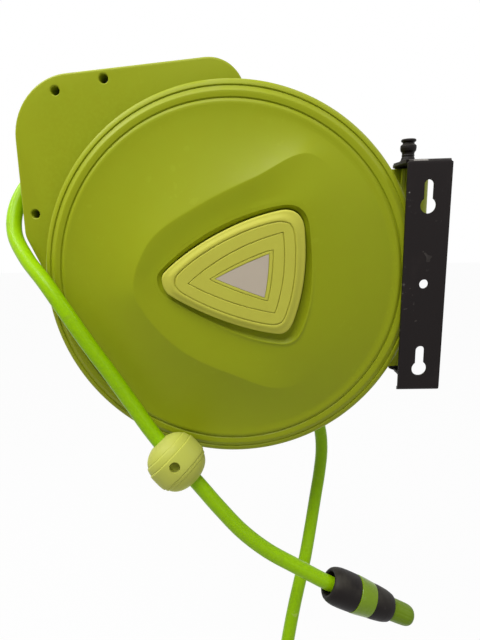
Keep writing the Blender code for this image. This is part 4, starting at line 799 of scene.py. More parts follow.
# %% [markdown]
# ## The housing's disc
#
# Each half of the housing is one injection moulding: a round side wall, a rim that stands
# proud of it with two groove lines, and a domed face that climbs to a raised plateau around the
# pale cap. On the left the plateau has a crisp crease, which fades out on the right. Such a
# form is a turned part whose rings slowly stop being circles, so it starts as one: a chain of
# vertices is spun into a disc, and each ring is then moved to its own curve. A ring keeps its
# vertices in order, so the face stays a clean grid of quads, which shade smoothly.

# %% Numbers of the housing
WALL_R, DISC_R, SHELL_T, SEAM = 0.188, 0.200, 0.003, 0.00015
RIM_FACE, RIM_BACK = 0.0725, 0.060
CREST, CAP_FLOOR, CAP_FACE = 0.0885, 0.0805, 0.0970
CAP_CENTRE = Vector((0.016, 0.006))
CAP_KNOTS = (
    ((-0.0660, 0.0120), (0.72, 0.69), 0.008, 0.040),
    ((0.0540, 0.0715), (0.99, 0.16), 0.040, 0.014),
    ((0.0778, 0.0520), (0.08, -1.0), 0.014, 0.030),
    ((0.0690, -0.0340), (-0.30, -0.95), 0.030, 0.013),
    ((0.0480, -0.0545), (-0.99, 0.14), 0.013, 0.036),
    ((-0.0610, -0.0120), (-0.84, 0.54), 0.036, 0.008))
PLATEAU_KNOTS = (
    (0.084, 0.125), (0.029, 0.104), (-0.027, 0.079), (-0.076, 0.048), (-0.099, 0.0045),
    (-0.092, -0.028), (-0.056, -0.070), (-0.004, -0.098), (0.062, -0.117), (0.118, -0.062),
    (0.132, 0.010), (0.122, 0.080))
SPOKES = 288
SPOKE_TURNS = np.arange(SPOKES) * math.tau / SPOKES
SPOKE_DEGREES, EVEN = np.degrees(SPOKE_TURNS), np.ones(SPOKES)
print("a disc", 2 * DISC_R, "m across, drawn with", SPOKES, "spokes")


# %% Outlines of the cap and of the plateau
def cap_outline(long_side, corner):
    """The cap's bulging rounded triangle, as points that run anticlockwise."""
    outline = []
    for i, (place, heading, back, on) in enumerate(CAP_KNOTS):
        following = CAP_KNOTS[(i + 1) % len(CAP_KNOTS)]
        start, end = Vector((*place, 0)), Vector((*following[0], 0))
        leave = start + Vector((*heading, 0)).normalized() * on
        arrive = end - Vector((*following[1], 0)).normalized() * following[2]
        count = long_side if i % 2 == 0 else corner
        run_points = interpolate_bezier(start, leave, arrive, end, count + 1)
        outline += [p.xy for p in run_points[:-1]]
    return outline[::-1]


def closed_curve(knots, steps):
    """A smooth closed line through knots."""
    knots = [Vector(k) for k in knots]
    count = len(knots)
    line = []
    for i in range(count):
        a, b, c, d = (knots[(i + k - 1) % count] for k in range(4))
        for step in range(steps):
            t = step / steps
            line.append(0.5 * (2 * b + (c - a) * t + (2 * a - 5 * b + 4 * c - d) * t ** 2
                               + (3 * b - a - 3 * c + d) * t ** 3))
    return line


# %% How far an outline reaches along each spoke
def turns_of(outline):
    """The direction of each point as seen from the cap's centre."""
    return np.array([math.atan2(p.y - CAP_CENTRE.y, p.x - CAP_CENTRE.x) % math.tau
                     for p in outline])


def reach_along(outline, turns):
    """How far it is from the cap's centre to the outline at each turn."""
    own, order = turns_of(outline), np.argsort(turns_of(outline))
    lengths = [(outline[i] - CAP_CENTRE).length for i in order]
    return np.interp(turns, own[order], lengths, period=math.tau)


def reach_of(outline):
    """The reach of an outline along every spoke."""
    return reach_along(outline, SPOKE_TURNS)


def reach_of_circle(radius):
    """The reach of a circle about the drum's axis, which is not where the cap's centre is."""
    along = CAP_CENTRE.x * np.cos(SPOKE_TURNS) + CAP_CENTRE.y * np.sin(SPOKE_TURNS)
    return -along + np.sqrt(radius ** 2 - CAP_CENTRE.length_squared + along ** 2)


OUTLINE = cap_outline(22, 16)
CAP_REACH, CREST_REACH = reach_of(OUTLINE), reach_of(closed_curve(PLATEAU_KNOTS, 24))
print("the cap reaches", round(CAP_REACH.max(), 4), "m, the plateau",
      round(CREST_REACH.max(), 4), "m from the cap's centre")

# %% [markdown]
# The rings are worked out as two numbers a spoke: how far the ring reaches from the cap's
# centre, and how deep it lies. Outside they follow circles. Then they drift to the plateau's
# crest, and inside to the cap's outline, with a moat that is wider below the cap, as the photo
# shows. A weight says along which spokes the crease is there; elsewhere a plain dome's depth is
# taken, so that the crease fades and leaves no trace.

# %% Rings of the side wall and the rim
RIM_STEPS = (
    (0, 0.0074), (0.0003, 0.0062), (0.0012, 0.0048), (0.0030, 0.0035), (0.0052, 0.0027),
    (0.0059, 0.0026), (0.0063, 0.0029), (0.0067, 0.0038), (0.0072, 0.0038), (0.0076, 0.0029),
    (0.0082, 0.0025), (0.0112, 0.0007), (0.0118, 0.0002), (0.0126, 0), (0.0150, 0.0001),
    (0.0176, 0.0003), (0.0181, 0.0007), (0.0186, 0.0017), (0.0191, 0.0017), (0.0196, 0.0007),
    (0.0202, 0.0002), (0.0217, -0.0008), (0.0225, -0.0011), (0.0250, -0.0010),
    (0.0285, -0.0008))


def rim_rings():
    """Circles up the side wall, round the rim and over its two groove lines."""
    turned = [(WALL_R, SEAM), (WALL_R, 0.0492), (WALL_R, RIM_BACK - 0.0004),
              (WALL_R + 0.0004, RIM_BACK), (DISC_R - 0.0004, RIM_BACK),
              (DISC_R, RIM_BACK + 0.0004),
              *((DISC_R - inward, RIM_FACE - down) for inward, down in RIM_STEPS)]
    return [(reach_of_circle(radius), EVEN * depth) for radius, depth in turned]


RIM_RINGS = rim_rings()
print(len(RIM_RINGS), "rings up to the dome's edge")

# %% Where the crease stands, and how wide the moat is
CREASE_FROM, CREASE_RISE, CREASE_TO, CREASE_FALL = 46, 46, 304, 52
BELOW_TURN, BELOW_SPREAD = 305, 52
MOAT_LEAST, MOAT_MORE, BEAD_HIGH = 0.0068, 0.0062, 0.0015
LIP_ROUND, SINK, DOME_LOW = 0.0034, 0.0018, RIM_FACE + 0.0008
WEIGHT = (smoothstep((SPOKE_DEGREES - CREASE_FROM) / CREASE_RISE)
          * smoothstep((CREASE_TO - SPOKE_DEGREES) / CREASE_FALL))
BELOW = np.exp(-(((SPOKE_DEGREES - BELOW_TURN + 180) % 360 - 180) / BELOW_SPREAD) ** 2)
MOAT, BEAD = MOAT_LEAST + MOAT_MORE * BELOW, BEAD_HIGH * BELOW
LIP, INNER = CAP_REACH + MOAT, CREST - SINK * WEIGHT
print("the moat is", round(MOAT.min(), 4), "to", round(MOAT.max(), 4), "m wide")


# %% Rings of the dome
def dome_rings():
    """From the rim up to the plateau's crest, and on to the moat's lip."""
    edge, low, outside = RIM_RINGS[-1][0], DOME_LOW, LIP + LIP_ROUND

    def blend(reach, creased):
        """The creased depth where the plateau stands out, a plain dome's where it fades."""
        inward = (edge - reach) / (edge - outside)
        climb = 0.25 * inward + 0.75 * np.sin(inward * math.pi / 2)
        return WEIGHT * creased + (1 - WEIGHT) * (low + (INNER - low) * climb)

    rings = []
    for t in (0.08, 0.17, 0.26, 0.35, 0.44, 0.53, 0.62, 0.70, 0.78, 0.85, 0.91, 0.955, 0.985):
        reach = edge + (CREST_REACH - edge) * t
        rings.append((reach, blend(reach, low + (CREST - low) * t ** 1.8)))
    rings.append((CREST_REACH, blend(CREST_REACH, CREST - 0.00005)))
    for t in (0.02, 0.06, 0.14, 0.30, 0.55, 0.80, 0.92):
        reach = CREST_REACH + (outside - CREST_REACH) * t
        rings.append((reach, blend(reach, CREST - SINK * smoothstep(t * 1.15))))
    return rings


# %% Rings of the moat and of the seat below the cap
def moat_rings():
    """A rounded lip, a slope down to the cap, a narrow trench round it and the flat seat."""
    lip = [(LIP + out, INNER + BEAD * share) for out, share in (
        (LIP_ROUND, 0.0), (0.0026, 0.2), (0.0018, 0.6), (0.0010, 0.92), (0.0003, 1.0),
        (-0.0004, 0.9), (-0.0010, 0.55))]
    slope = [(LIP - MOAT * (1 - share), INNER + (CREST - 0.0052 - INNER) * sunk)
             for share, sunk in ((0.93, 0.10), (0.86, 0.26), (0.76, 0.45), (0.64, 0.64),
                                 (0.50, 0.82), (0.38, 0.95))]
    trench = [(CAP_REACH + out, EVEN * depth) for out, depth in (
        (0.0020, CREST - 0.0056), (0.0015, CREST - 0.0066), (0.0012, CAP_FLOOR - 0.0028),
        (0.0008, CAP_FLOOR - 0.0034), (0.0001, CAP_FLOOR - 0.0034),
        (-0.0003, CAP_FLOOR - 0.0028), (-0.0006, CAP_FLOOR))]
    seat = [(CAP_REACH * 0.5, EVEN * CAP_FLOOR), (EVEN * 0.0, EVEN * CAP_FLOOR)]
    return lip + slope + trench + seat


RINGS = RIM_RINGS + dome_rings() + moat_rings()
print(len(RINGS), "rings of", SPOKES, "vertices")

# %% [markdown]
# The spun disc becomes half a shell when each ring is in place. The faces where the outlet box
# joins the side wall are taken out, and Solidify gives the rest its wall, inwards.

# %% Spin the disc and set its rings
OPEN_DEPTH, OPEN_TURNS = 0.045, (84, 179)


def disc(name, side):
    """One half's disc and side wall, open inside, where the outlet box joins it."""
    shape = bmesh.new()
    row, links = chain_of(shape, [(1 + i, 0, 0) for i in range(len(RINGS))])
    spin_round(shape, row + links, (0, -1, 0), SPOKES)
    for vert in shape.verts:
        ring = round(vert.co.length) - 1
        spoke = round(math.atan2(vert.co.z, vert.co.x) % math.tau * SPOKES / math.tau) % SPOKES
        reach, depth, angle = RINGS[ring][0][spoke], RINGS[ring][1][spoke], SPOKE_TURNS[spoke]
        vert.co = (CAP_CENTRE.x + reach * math.cos(angle), side * depth,
                   CAP_CENTRE.y + reach * math.sin(angle))
    bmesh.ops.remove_doubles(shape, verts=shape.verts, dist=MERGE)
    wall = []
    for face in shape.faces:
        spot = face.calc_center_median()
        turn = math.degrees(math.atan2(spot.z, spot.x)) % 360
        if abs(spot.y) < OPEN_DEPTH and OPEN_TURNS[0] < turn < OPEN_TURNS[1]:
            wall.append(face)
    bmesh.ops.delete(shape, geom=wall, context="FACES")
    bmesh.ops.recalc_face_normals(shape, faces=shape.faces)
    outermost = max(shape.faces, key=lambda f: f.calc_center_median().y * side)
    if outermost.normal.y * side < 0:
        bmesh.ops.reverse_faces(shape, faces=shape.faces)
    return thicken(open_piece(name, shape), SHELL_T, -1, False)


def gather(name, parts):
    """Several closed shapes as one piece, moved to its place."""
    shape = bmesh.new()
    for part in parts:
        shape.from_mesh(part.data)
        bpy.data.objects.remove(part)
    bmesh.ops.translate(shape, vec=DRUM_AT, verts=shape.verts)
    return shade(open_piece(name, shape))


# %% [markdown]
# ## The outlet box and the pivot lug
#
# The corner box at the upper left guides the hose out through its rollers. It starts as one flat
# face with rounded corners, is pushed to its depth and has its edge eased. A copy of the same
# outline, drawn in by the wall's thickness, hollows it. The drum's room is then cut out of it
# with a drill as wide as the side wall, the outlet is cut through its left wall, and the screw
# bosses go in. Its lower left corner stops just short of the hose that runs past it.

# %% Numbers of the box and the lug
BOX_LEFT, BOX_TOP, BOX_DEPTH = -0.224, 0.228, 0.052
BOX_SCREWS = ((-0.175, 0.1976), (-0.1236, 0.2073), (-0.2102, 0.0743))
RECESS_R, RECESS_FLOOR, BOSS_R, SCREW_HOLE_R = 0.0047, 0.030, 0.0065, 0.0023
DRUM_ROOM = ("drum_room", WALL_R - 0.0012, (0, -0.07, 0), (0, 0.07, 0), 192)
PIVOT_X, ROD_R, BUSH_R = 0.2025, 0.005, 0.008
PLATE_TOP, PLATE_BOTTOM, PLATE_THICK, PLATE_DEPTH = 0.1175, -0.1245, 0.003, 0.078
LUG_TOP, LUG_BOTTOM, KNUCKLE_LOW = 0.112, -0.1165, 0.060
LUG_EYE, KNUCKLE_EYE, LUG_HALF, KNUCKLE_HALF = BUSH_R + 0.009, BUSH_R + 0.015, 0.024, 0.023
LUG_ROOT, KNUCKLE_ROOT, INLET_HOLE_R = 0.1605, PIVOT_X - 0.012, 0.0115
LUG_SCREWS, LUG_FLOOR = ((0.181, 0.092), (0.181, -0.090)), 0.009
CAGE_LOW, CAGE_HIGH, CAGE_HALF, CAGE_WALL = 0.0910, 0.1630, 0.0370, 0.0062
LIP_AT = BOX_LEFT + 0.0056


def arc(centre, radius, start, end, steps):
    """Sharp corners along an arc, from one angle in degrees to another."""
    angles = [math.radians(start + (end - start) * i / steps) for i in range(steps + 1)]
    return [(centre[0] + radius * math.cos(a), centre[1] + radius * math.sin(a), 0)
            for a in angles]


def raw_slab(name, corners, low, high, plane, ease=0):
    """A slab left in reel coordinates, for joining or cutting."""
    return moved(slab(name, corners, low, high, plane, ease), -DRUM_AT)


def raw_lathe(name, *args, **kwargs):
    """A turned piece left in reel coordinates."""
    return moved(lathe(name, *args, **kwargs), -DRUM_AT)


def raw_drill(name, radius, start, end, steps=48):
    """A drill bit between two points."""
    start, end = Vector(start), Vector(end)
    length = (end - start).length
    return raw_lathe(name, [(0, 0), (radius, 0), (radius, length), (0, length)], start,
                     end - start, steps, ease=0)


def raw_block(name, low, high):
    """A cutter with square corners."""
    low, high = Vector(low), Vector(high)
    shape = bmesh.new()
    bmesh.ops.create_cube(shape, size=1)
    bmesh.ops.scale(shape, vec=high - low, verts=shape.verts)
    bmesh.ops.translate(shape, vec=(low + high) / 2, verts=shape.verts)
    return open_piece(name, shape)


print("outlet box", 2 * BOX_DEPTH, "m deep; plate", PLATE_TOP - PLATE_BOTTOM, "m high")

# %% The outlet box
BOX_CORNERS = [(0.021, BOX_TOP - 0.001, 0.038), (BOX_LEFT + 0.002, BOX_TOP - 0.018, 0.064),
               (BOX_LEFT - 0.001, 0.051, 0.021), (BOX_LEFT + 0.026, -0.014, 0),
               (BOX_LEFT + 0.066, -0.028, 0), (0.021, WALL_R - 0.038, 0)]


def box_form(name, side, inset, low, high, ease):
    """The box's outline, drawn in by an inset, as a closed solid."""
    shape = bmesh.new()
    face = rounded_face(shape, BOX_CORNERS, low)
    if inset:
        shape.normal_update()
        bmesh.ops.inset_region(shape, faces=[face], thickness=inset, use_boundary=True,
                               use_even_offset=True)
        bmesh.ops.delete(shape, geom=[f for f in shape.faces if f is not face], context="FACES")
    top = push_up(shape, face, high - low)
    if ease:
        round_off(shape, top.edges[:], ease, 5)
    bmesh.ops.transform(shape, matrix=on_face(side), verts=shape.verts)
    bmesh.ops.recalc_face_normals(shape, faces=shape.faces)
    return open_piece(name, shape)


def box_half(tag, side):
    """Half of the box: cleared for the drum, hollowed, opened for the hose and the screws."""
    made = box_form(tag + "_box", side, 0, SEAM, BOX_DEPTH, 0.0026)
    tools = [raw_drill(*DRUM_ROOM),
             box_form("box_room", side, SHELL_T, -0.004, BOX_DEPTH - SHELL_T, 0),
             raw_block("outlet_cut", (BOX_LEFT - 0.01, -CAGE_HALF - FIT, CAGE_LOW - FIT),
                       (LIP_AT + 0.0004, CAGE_HALF + FIT, CAGE_HIGH + FIT))]
    mouth = RECESS_R + 0.0011
    if side < 0:
        tools += [raw_lathe(f"box_recess_{i}", [
            (0, 0), (RECESS_R, 0), (RECESS_R, 0.0052), (mouth, 0.0061), (mouth, 0.016),
            (0, 0.016)], (x, -BOX_DEPTH + 0.006, z), FRONT, 48, 0)
            for i, (x, z) in enumerate(BOX_SCREWS)]
    return carve(made, tools)


def screw_boss(tag, i, x, z, side):
    """The post behind a screw: a tube, which in front also holds the recess and its floor."""
    if side > 0:
        high, steps, ease = BOX_DEPTH - 0.002, 32, 0.0002
        top = [(BOSS_R, high), (SCREW_HOLE_R, high)]
    else:
        high, steps, ease = BOX_DEPTH - 0.0014, 40, 0.0001
        top = [(BOSS_R, high), (RECESS_R, high), (RECESS_R, RECESS_FLOOR),
               (SCREW_HOLE_R, RECESS_FLOOR)]
    return raw_lathe(f"{tag}_boss_{i}", [(SCREW_HOLE_R, 0.0002), (BOSS_R, 0.0002), *top],
                     (x, 0, z), FRONT * -side, steps, ease, True)


# %% [markdown]
# The lug on the right is solid: an eye about the pivot rod and a web to the side wall, with a
# wider knuckle at its top. Each half of it belongs to one shell. The disc, the box, the lug and
# the bosses are closed shapes that reach into one another, and together they are the moulding.

# %% The lug and its knuckle
def lug_half(tag, side, eye, low, high, root_half, root_x, room=True):
    """Half an eye about the pivot and its web, bored, and cleared where the drum turns."""
    first = math.degrees(math.asin(SEAM / eye))
    plan = [(root_x, SEAM, 0), *arc((PIVOT_X, 0), eye, first, 112, 20), (root_x, root_half, 0)]
    plan = [(x, side * y, 0) for x, y, r in plan]
    made = raw_slab(tag, plan if side > 0 else plan[::-1], low, high, ON_PLAN, 0.0008)
    tools = [raw_drill("pivot_bore", BUSH_R + FIT, (PIVOT_X, 0, low - 0.01),
                       (PIVOT_X, 0, high + 0.01))]
    if room:
        tools.append(raw_drill(*DRUM_ROOM))
    if room and side > 0:
        tools += [raw_drill("lug_recess", RECESS_R, (x, LUG_FLOOR, z), (x, 0.05, z))
                  for x, z in LUG_SCREWS]
    return carve(made, tools)


def shell(name, side):
    """A whole half of the housing; the rear one also has the inlet's hole."""
    tag = "front" if side < 0 else "rear"
    parts = [disc(tag + "_disc", side), box_half(tag, side),
             lug_half(tag + "_lug", side, LUG_EYE, LUG_BOTTOM, LUG_TOP, LUG_HALF, LUG_ROOT),
             lug_half(tag + "_knuckle", side, KNUCKLE_EYE, KNUCKLE_LOW, LUG_TOP + 0.00002,
                      KNUCKLE_HALF, KNUCKLE_ROOT, False)]
    parts += [screw_boss(tag, i, x, z, side) for i, (x, z) in enumerate(BOX_SCREWS)]
    if side > 0:
        carve(parts[0], [raw_drill("inlet_hole", INLET_HOLE_R, inlet_point(WALL_R - 0.012),
                                   inlet_point(WALL_R + 0.012))])
    return gather(name, parts)


# %% Both shells
front_shell = dress(shell("housing_front", -1), "housing_green", "reel", "front_shell")
rear_shell = dress(shell("housing_rear", 1), "housing_green", "reel", "rear_shell")
print("housing faces", len(front_shell.data.polygons), len(rear_shell.data.polygons))

# %% [markdown]
# ## The pale caps
#
# A separate pale moulding sits in each disc's recess, a rounded triangle with three groove
# loops that step in towards a bare label. It starts as one flat face with the triangle's
# outline. The face is pushed up, its rim gets a round edge, and the rest is a run of small
# extrusions: each takes the top face in to a smaller loop at its own height, so a groove is a
# few loops that sink and rise again. The loops grow crisper at the corners towards the label.

# %% Loops of the cap
def bowed_triangle(corners, bows, steps=30):
    """Three corners about the cap's centre, joined by sides that bow outwards."""
    outline = []
    for i, corner in enumerate(corners):
        start, end = Vector(corner), Vector(corners[(i + 1) % 3])
        out_way = Vector((end.y - start.y, start.x - end.x)).normalized()
        outline += [CAP_CENTRE + start.lerp(end, t) + out_way * bows[i] * 4 * t * (1 - t)
                    for t in (step / steps for step in range(steps))]
    return outline


MIDDLE_LOOP = bowed_triangle([(-0.0838, -0.0075), (0.0456, -0.0551), (0.0588, 0.0650)],
                             [0.0058, 0.0070, 0.0097])
LABEL_LOOP = bowed_triangle([(-0.0770, -0.0016), (0.0549, -0.0559), (0.0689, 0.0619)],
                            [0.0012, 0.0030, 0.0026])
SOFT_SHARE, MIDDLE_SHARE, CRISP_SHARE = 0.875, 0.68, 0.38
CORNER_TURNS = [turns_of(loop)[i] for loop in (MIDDLE_LOOP, LABEL_LOOP) for i in (0, 30, 60)]
CAP_TURNS = np.unique(np.round(np.concatenate([turns_of(OUTLINE), CORNER_TURNS]), 3))
print(len(CAP_TURNS), "points round each loop")


def loop(share, turns):
    """The reach of one loop: rounded like the outline outside, crisper towards the label."""
    soft, middle, label = (reach_along(o, turns) for o in (OUTLINE, MIDDLE_LOOP, LABEL_LOOP))
    if share > MIDDLE_SHARE:
        crisper = min(1, max(0, (SOFT_SHARE - share) / (SOFT_SHARE - MIDDLE_SHARE)))
        return share * (soft + (middle - soft) * crisper)
    crisper = min(1, (MIDDLE_SHARE - share) / (MIDDLE_SHARE - CRISP_SHARE))
    return share * (middle + (label - middle) * crisper)


def points_of(reach, turns):
    """A loop as (u, v, 0) corners."""
    return [(CAP_CENTRE.x + r * math.cos(t), CAP_CENTRE.y + r * math.sin(t), 0)
            for r, t in zip(reach, turns)]


# %% Steps and grooves
def step_in(shape, face, moves):
    """Extrude a face again and again, each time to a smaller loop at its own height."""
    for share, height in moves:
        face = bmesh.ops.extrude_discrete_faces(shape, faces=[face])["faces"][0]
        turns = turns_of([v.co.xy for v in face.verts])
        for vert, (x, y, _) in zip(face.verts, points_of(loop(share, turns), turns)):
            vert.co = (x, y, height)
    return face


def groove(centre, face_height, depth, half):
    """A soft V: shares of the outline across it, with its depth at each."""
    return [(centre + half * k, face_height - depth * d)
            for k, d in ((2.2, 0), (1.3, 0), (0.95, 0.10), (0.55, 0.55), (0.2, 0.95),
                         (-0.2, 0.95), (-0.55, 0.55), (-0.95, 0.10), (-1.3, 0), (-2.2, 0))]


# %% Caps and the bare label
EDGE_ROUND, GROOVE_DEPTH, GROOVE_HALF = 0.0026, 0.0015, 0.0090


def cap(name, side, grooves, recess):
    """A cap with grooves at some shares of its outline and, in front, a seat for the label."""
    face_height = CAP_FACE - 0.0006
    shoulder = face_height - EDGE_ROUND
    shape = bmesh.new()
    corners = points_of(reach_along(OUTLINE, CAP_TURNS), CAP_TURNS)
    push_up(shape, rounded_face(shape, corners, CAP_FLOOR + FIT), shoulder - CAP_FLOOR - FIT)
    round_off(shape, level(shape.edges, shoulder), EDGE_ROUND, 6)
    top = max(level(shape.faces, shoulder), key=lambda f: f.calc_area())
    moves = [(0.930, shoulder + 0.0007), (0.912, shoulder + 0.0013), (0.895, shoulder + 0.0019),
             (0.878, shoulder + 0.0024)]
    for share in grooves:
        moves += groove(share, face_height, GROOVE_DEPTH, GROOVE_HALF)
    if recess:
        moves += [(recess + 0.012, face_height), (recess + 0.006, face_height),
                  (recess, face_height - 0.0003), (recess - 0.002, face_height - 0.0010)]
    step_in(shape, top, moves)
    bmesh.ops.transform(shape, matrix=on_face(side), verts=shape.verts)
    return finish(name, shape, 50)


front_cap = dress(cap("cap_front", -1, (0.842, 0.680, 0.450), 0.385), "pale_green", "reel",
                  "front_cap")
rear_cap = dress(cap("cap_rear", 1, (0.842, 0.680), 0), "pale_green", "reel", "rear_cap")
label = dress(slab("label_bare", points_of(loop(0.372, CAP_TURNS), CAP_TURNS),
                   CAP_FACE - 0.0013, CAP_FACE - 0.0007, on_face(-1)), "label_grey", "reel",
              "label_plate")
print("caps", len(front_cap.data.polygons), len(rear_cap.data.polygons), "faces")

# %% [markdown]
# ## The wall bracket
#
# One piece of 3 mm sheet: a plate with two keyholes that hang on wall screws, and two ears bent
# back to hold the pivot rod. The sheet's centre line is a chain of vertices with rounded
# bends, pushed sideways into a strip, and Solidify gives it its thickness, as a press brake
# would leave it. The ears are then trimmed to their plan and the holes are punched. A live
# Bevel takes the sharpness off every edge, where the coating wears first.

# %% Bend the strip
MOUNT_HOLES = ((0.0723, "upper"), (-0.0997, "lower"))
HEAD_R, SLOT_R, SLOT_RISE, CENTRE_HOLE_R, CENTRE_HOLE_Z = 0.008, 0.00475, 0.0205, 0.0048, -0.0075
PLATE_HALF, EAR_END = 0.022, 0.020
EAR_R, LOWER_EAR_R, RELIEF_R, RELIEF_OUT = 0.016, 0.0118, 0.0021, 0.0225
print("a plate", 2 * PLATE_HALF, "m wide, with", len(MOUNT_HOLES), "keyholes")


def bracket_strip():
    """The bent sheet: the plate with both ears still at full width."""
    mid, end = PLATE_THICK / 2, EAR_END
    line = eased([(end, PLATE_TOP - mid), (-PLATE_DEPTH + mid, PLATE_TOP - mid),
                  (-PLATE_DEPTH + mid, PLATE_BOTTOM + mid), (end, PLATE_BOTTOM + mid)],
                 0.0034, steps=8)
    shape = bmesh.new()
    links = chain_of(shape, [(PIVOT_X - PLATE_HALF, p.x, p.y) for p in line])[1]
    pushed = bmesh.ops.extrude_edge_only(shape, edges=links)
    bmesh.ops.translate(shape, vec=(2 * PLATE_HALF, 0, 0), verts=new_verts(pushed))
    bmesh.ops.recalc_face_normals(shape, faces=shape.faces)
    return thicken(open_piece("bracket_strip", shape), PLATE_THICK, 0, True)


def keyhole_punch(name, round_z):
    """Round below for the screw's head, a slot above for its shank."""
    where = math.degrees(math.acos(SLOT_R / HEAD_R))
    outline = (arc((PIVOT_X, round_z), HEAD_R, 180 - where, 360 + where, 28)
               + arc((PIVOT_X, round_z + SLOT_RISE), SLOT_R, 0, 180, 16))
    return raw_slab(name, outline, PLATE_DEPTH - 0.01, PLATE_DEPTH + 0.01, on_face(-1))


def ear_trim(name, plan, low, high):
    """Everything outside an ear's plan, as a slab with a hole."""
    around = raw_block(name, (PIVOT_X - 0.06, -PLATE_DEPTH - 0.06, low),
                       (PIVOT_X + 0.06, 0.06, high))
    plan_slab = raw_slab(name + "_plan", [(PIVOT_X + x, y, 0) for x, y in plan],
                         low - 0.01, high + 0.01, ON_PLAN)
    return carve(around, [plan_slab])


def ear_plan(neck, eye):
    """An ear seen from above: as wide as the plate at its root, then a neck and a round eye."""
    half, front = PLATE_HALF + 0.0002, -PLATE_DEPTH - 0.02
    right = [(half, front), *neck]
    left = [(-x, y) for x, y in right[::-1]]
    return left[-1:] + right + [(x, y) for x, y, r in eye] + left[:-1]


# %% Trim the ears, punch the holes
def bracket():
    """The finished bracket, with its hole for the rod and two small reliefs at the top bend."""
    made = bracket_strip()
    half = PLATE_HALF + 0.0002
    upper = ear_plan([(half, -0.024)], arc((0, 0), EAR_R, -10, 190, 40))
    lower = ear_plan([(half, -PLATE_DEPTH + 0.005), (0.0075, -PLATE_DEPTH + 0.030)],
                     arc((0, 0), LOWER_EAR_R, -48, 228, 40))
    tools = [ear_trim("upper_trim", upper, PLATE_TOP - 0.02, PLATE_TOP + 0.01),
             ear_trim("lower_trim", lower, PLATE_BOTTOM - 0.01, PLATE_BOTTOM + 0.02),
             raw_drill("ear_holes", ROD_R + FIT, (PIVOT_X, 0, PLATE_BOTTOM - 0.01),
                       (PIVOT_X, 0, PLATE_TOP + 0.01)),
             raw_drill("centre_hole", CENTRE_HOLE_R,
                       (PIVOT_X, -PLATE_DEPTH - 0.01, CENTRE_HOLE_Z),
                       (PIVOT_X, -PLATE_DEPTH + 0.01, CENTRE_HOLE_Z))]
    tools += [keyhole_punch(name, z) for z, name in MOUNT_HOLES]
    tools += [raw_drill("relief", RELIEF_R, (x, -PLATE_DEPTH - 0.002, PLATE_TOP - 0.0015),
                        (x, -PLATE_DEPTH + 0.0075, PLATE_TOP - 0.0015), 24)
              for x in (PIVOT_X - RELIEF_OUT, PIVOT_X + RELIEF_OUT)]
    return soften(moved(carve(made, tools, angle=25), DRUM_AT), 0.00045, 3, 50)


wall_bracket = dress(bracket(), "bracket_black", "bracket", "wall_bracket")
print("bracket", len(wall_bracket.data.polygons), "faces before its edges are rounded")

# %% [markdown]
# ## The pivot
#
# A steel rod runs through both ears and the reel's lug. Its knob is a turned grip with a waist:
# lifting it draws the rod out, and the reel comes off the wall. The bushes are flanged sleeves
# in the lug, and a rubber pad stops the swing against the wall.

# %% Pivot pieces
knob_foot = PLATE_TOP + FIT
knob_top = knob_foot + 0.0275
GRIP = ((0.0020, 0), (0.0032, 0.0010), (0.0032, 0.0028), (0.0013, 0.0040), (0.0014, 0.0052),
        (0.0037, 0.0072), (0.0039, 0.0100), (0.0034, 0.0130), (0.0020, 0.0146),
        (0.0016, 0.0168), (0.0022, 0.0178), (0.0016, 0.0190), (0.0022, 0.0205), (0.0028, 0.0228))
PIVOT, bore = (PIVOT_X, 0, 0), ROD_R + FIT
dress(lathe("pivot_steel", [
    (0, knob_foot + 0.018), (ROD_R, knob_foot + 0.018), (ROD_R, PLATE_BOTTOM - 0.0045),
    (ROD_R - 0.0015, PLATE_BOTTOM - 0.006), (0, PLATE_BOTTOM - 0.006)],
    PIVOT, UP, 48, 0.0004), "steel", "pivot_pin", "pivot_rod")
dress(lathe("pivot_grip", [
    (0, knob_top - 0.0002), (0.0045, knob_top - 0.0002),
    *((ROD_R + proud, knob_top - down) for proud, down in GRIP),
    (ROD_R + 0.0055, knob_foot + 0.0016), (ROD_R + 0.0060, knob_foot), (bore, knob_foot),
    (bore, knob_foot + 0.0183), (0, knob_foot + 0.0183)],
    PIVOT, UP, 64, 0.0006), "moulded_black", "pivot_pin", "pivot_knob")
high_face = PLATE_TOP - PLATE_THICK - FIT
low_face = PLATE_BOTTOM + PLATE_THICK + FIT
dress(lathe("bush_above", [
    (bore, high_face), (BUSH_R + 0.006, high_face), (BUSH_R + 0.006, LUG_TOP + FIT),
    (BUSH_R, LUG_TOP + FIT), (BUSH_R, LUG_TOP - 0.020), (bore, LUG_TOP - 0.020)],
    PIVOT, UP, 48, 0.0003, True), "moulded_black", "reel", "upper_bush")
dress(lathe("bush_below", [
    (bore, LUG_BOTTOM + 0.026), (BUSH_R, LUG_BOTTOM + 0.026), (BUSH_R, LUG_BOTTOM - FIT),
    (BUSH_R + 0.0035, LUG_BOTTOM - FIT), (BUSH_R + 0.0035, low_face), (bore, low_face)],
    PIVOT, UP, 48, 0.0003, True), "moulded_black", "reel", "lower_bush")
PAD_LOW, PAD_HIGH = 0.0350, 0.0597
pad_plan = arc((PIVOT_X, 0), 0.0290, -24, 24, 16) + arc((PIVOT_X, 0), 0.0173, 40, -40, 20)
dress(slab("swing_pad", pad_plan, PAD_LOW, PAD_HIGH, ON_PLAN, 0.0008, 0.0008),
      "rubber_black", "reel", "swing_stop")
print("rod, knob, two bushes and a pad")

# %% [markdown]
# Five screws hold the shells together. Each is a low round head on a shank, turned in one go,
# and stands just clear of its recess's floor.

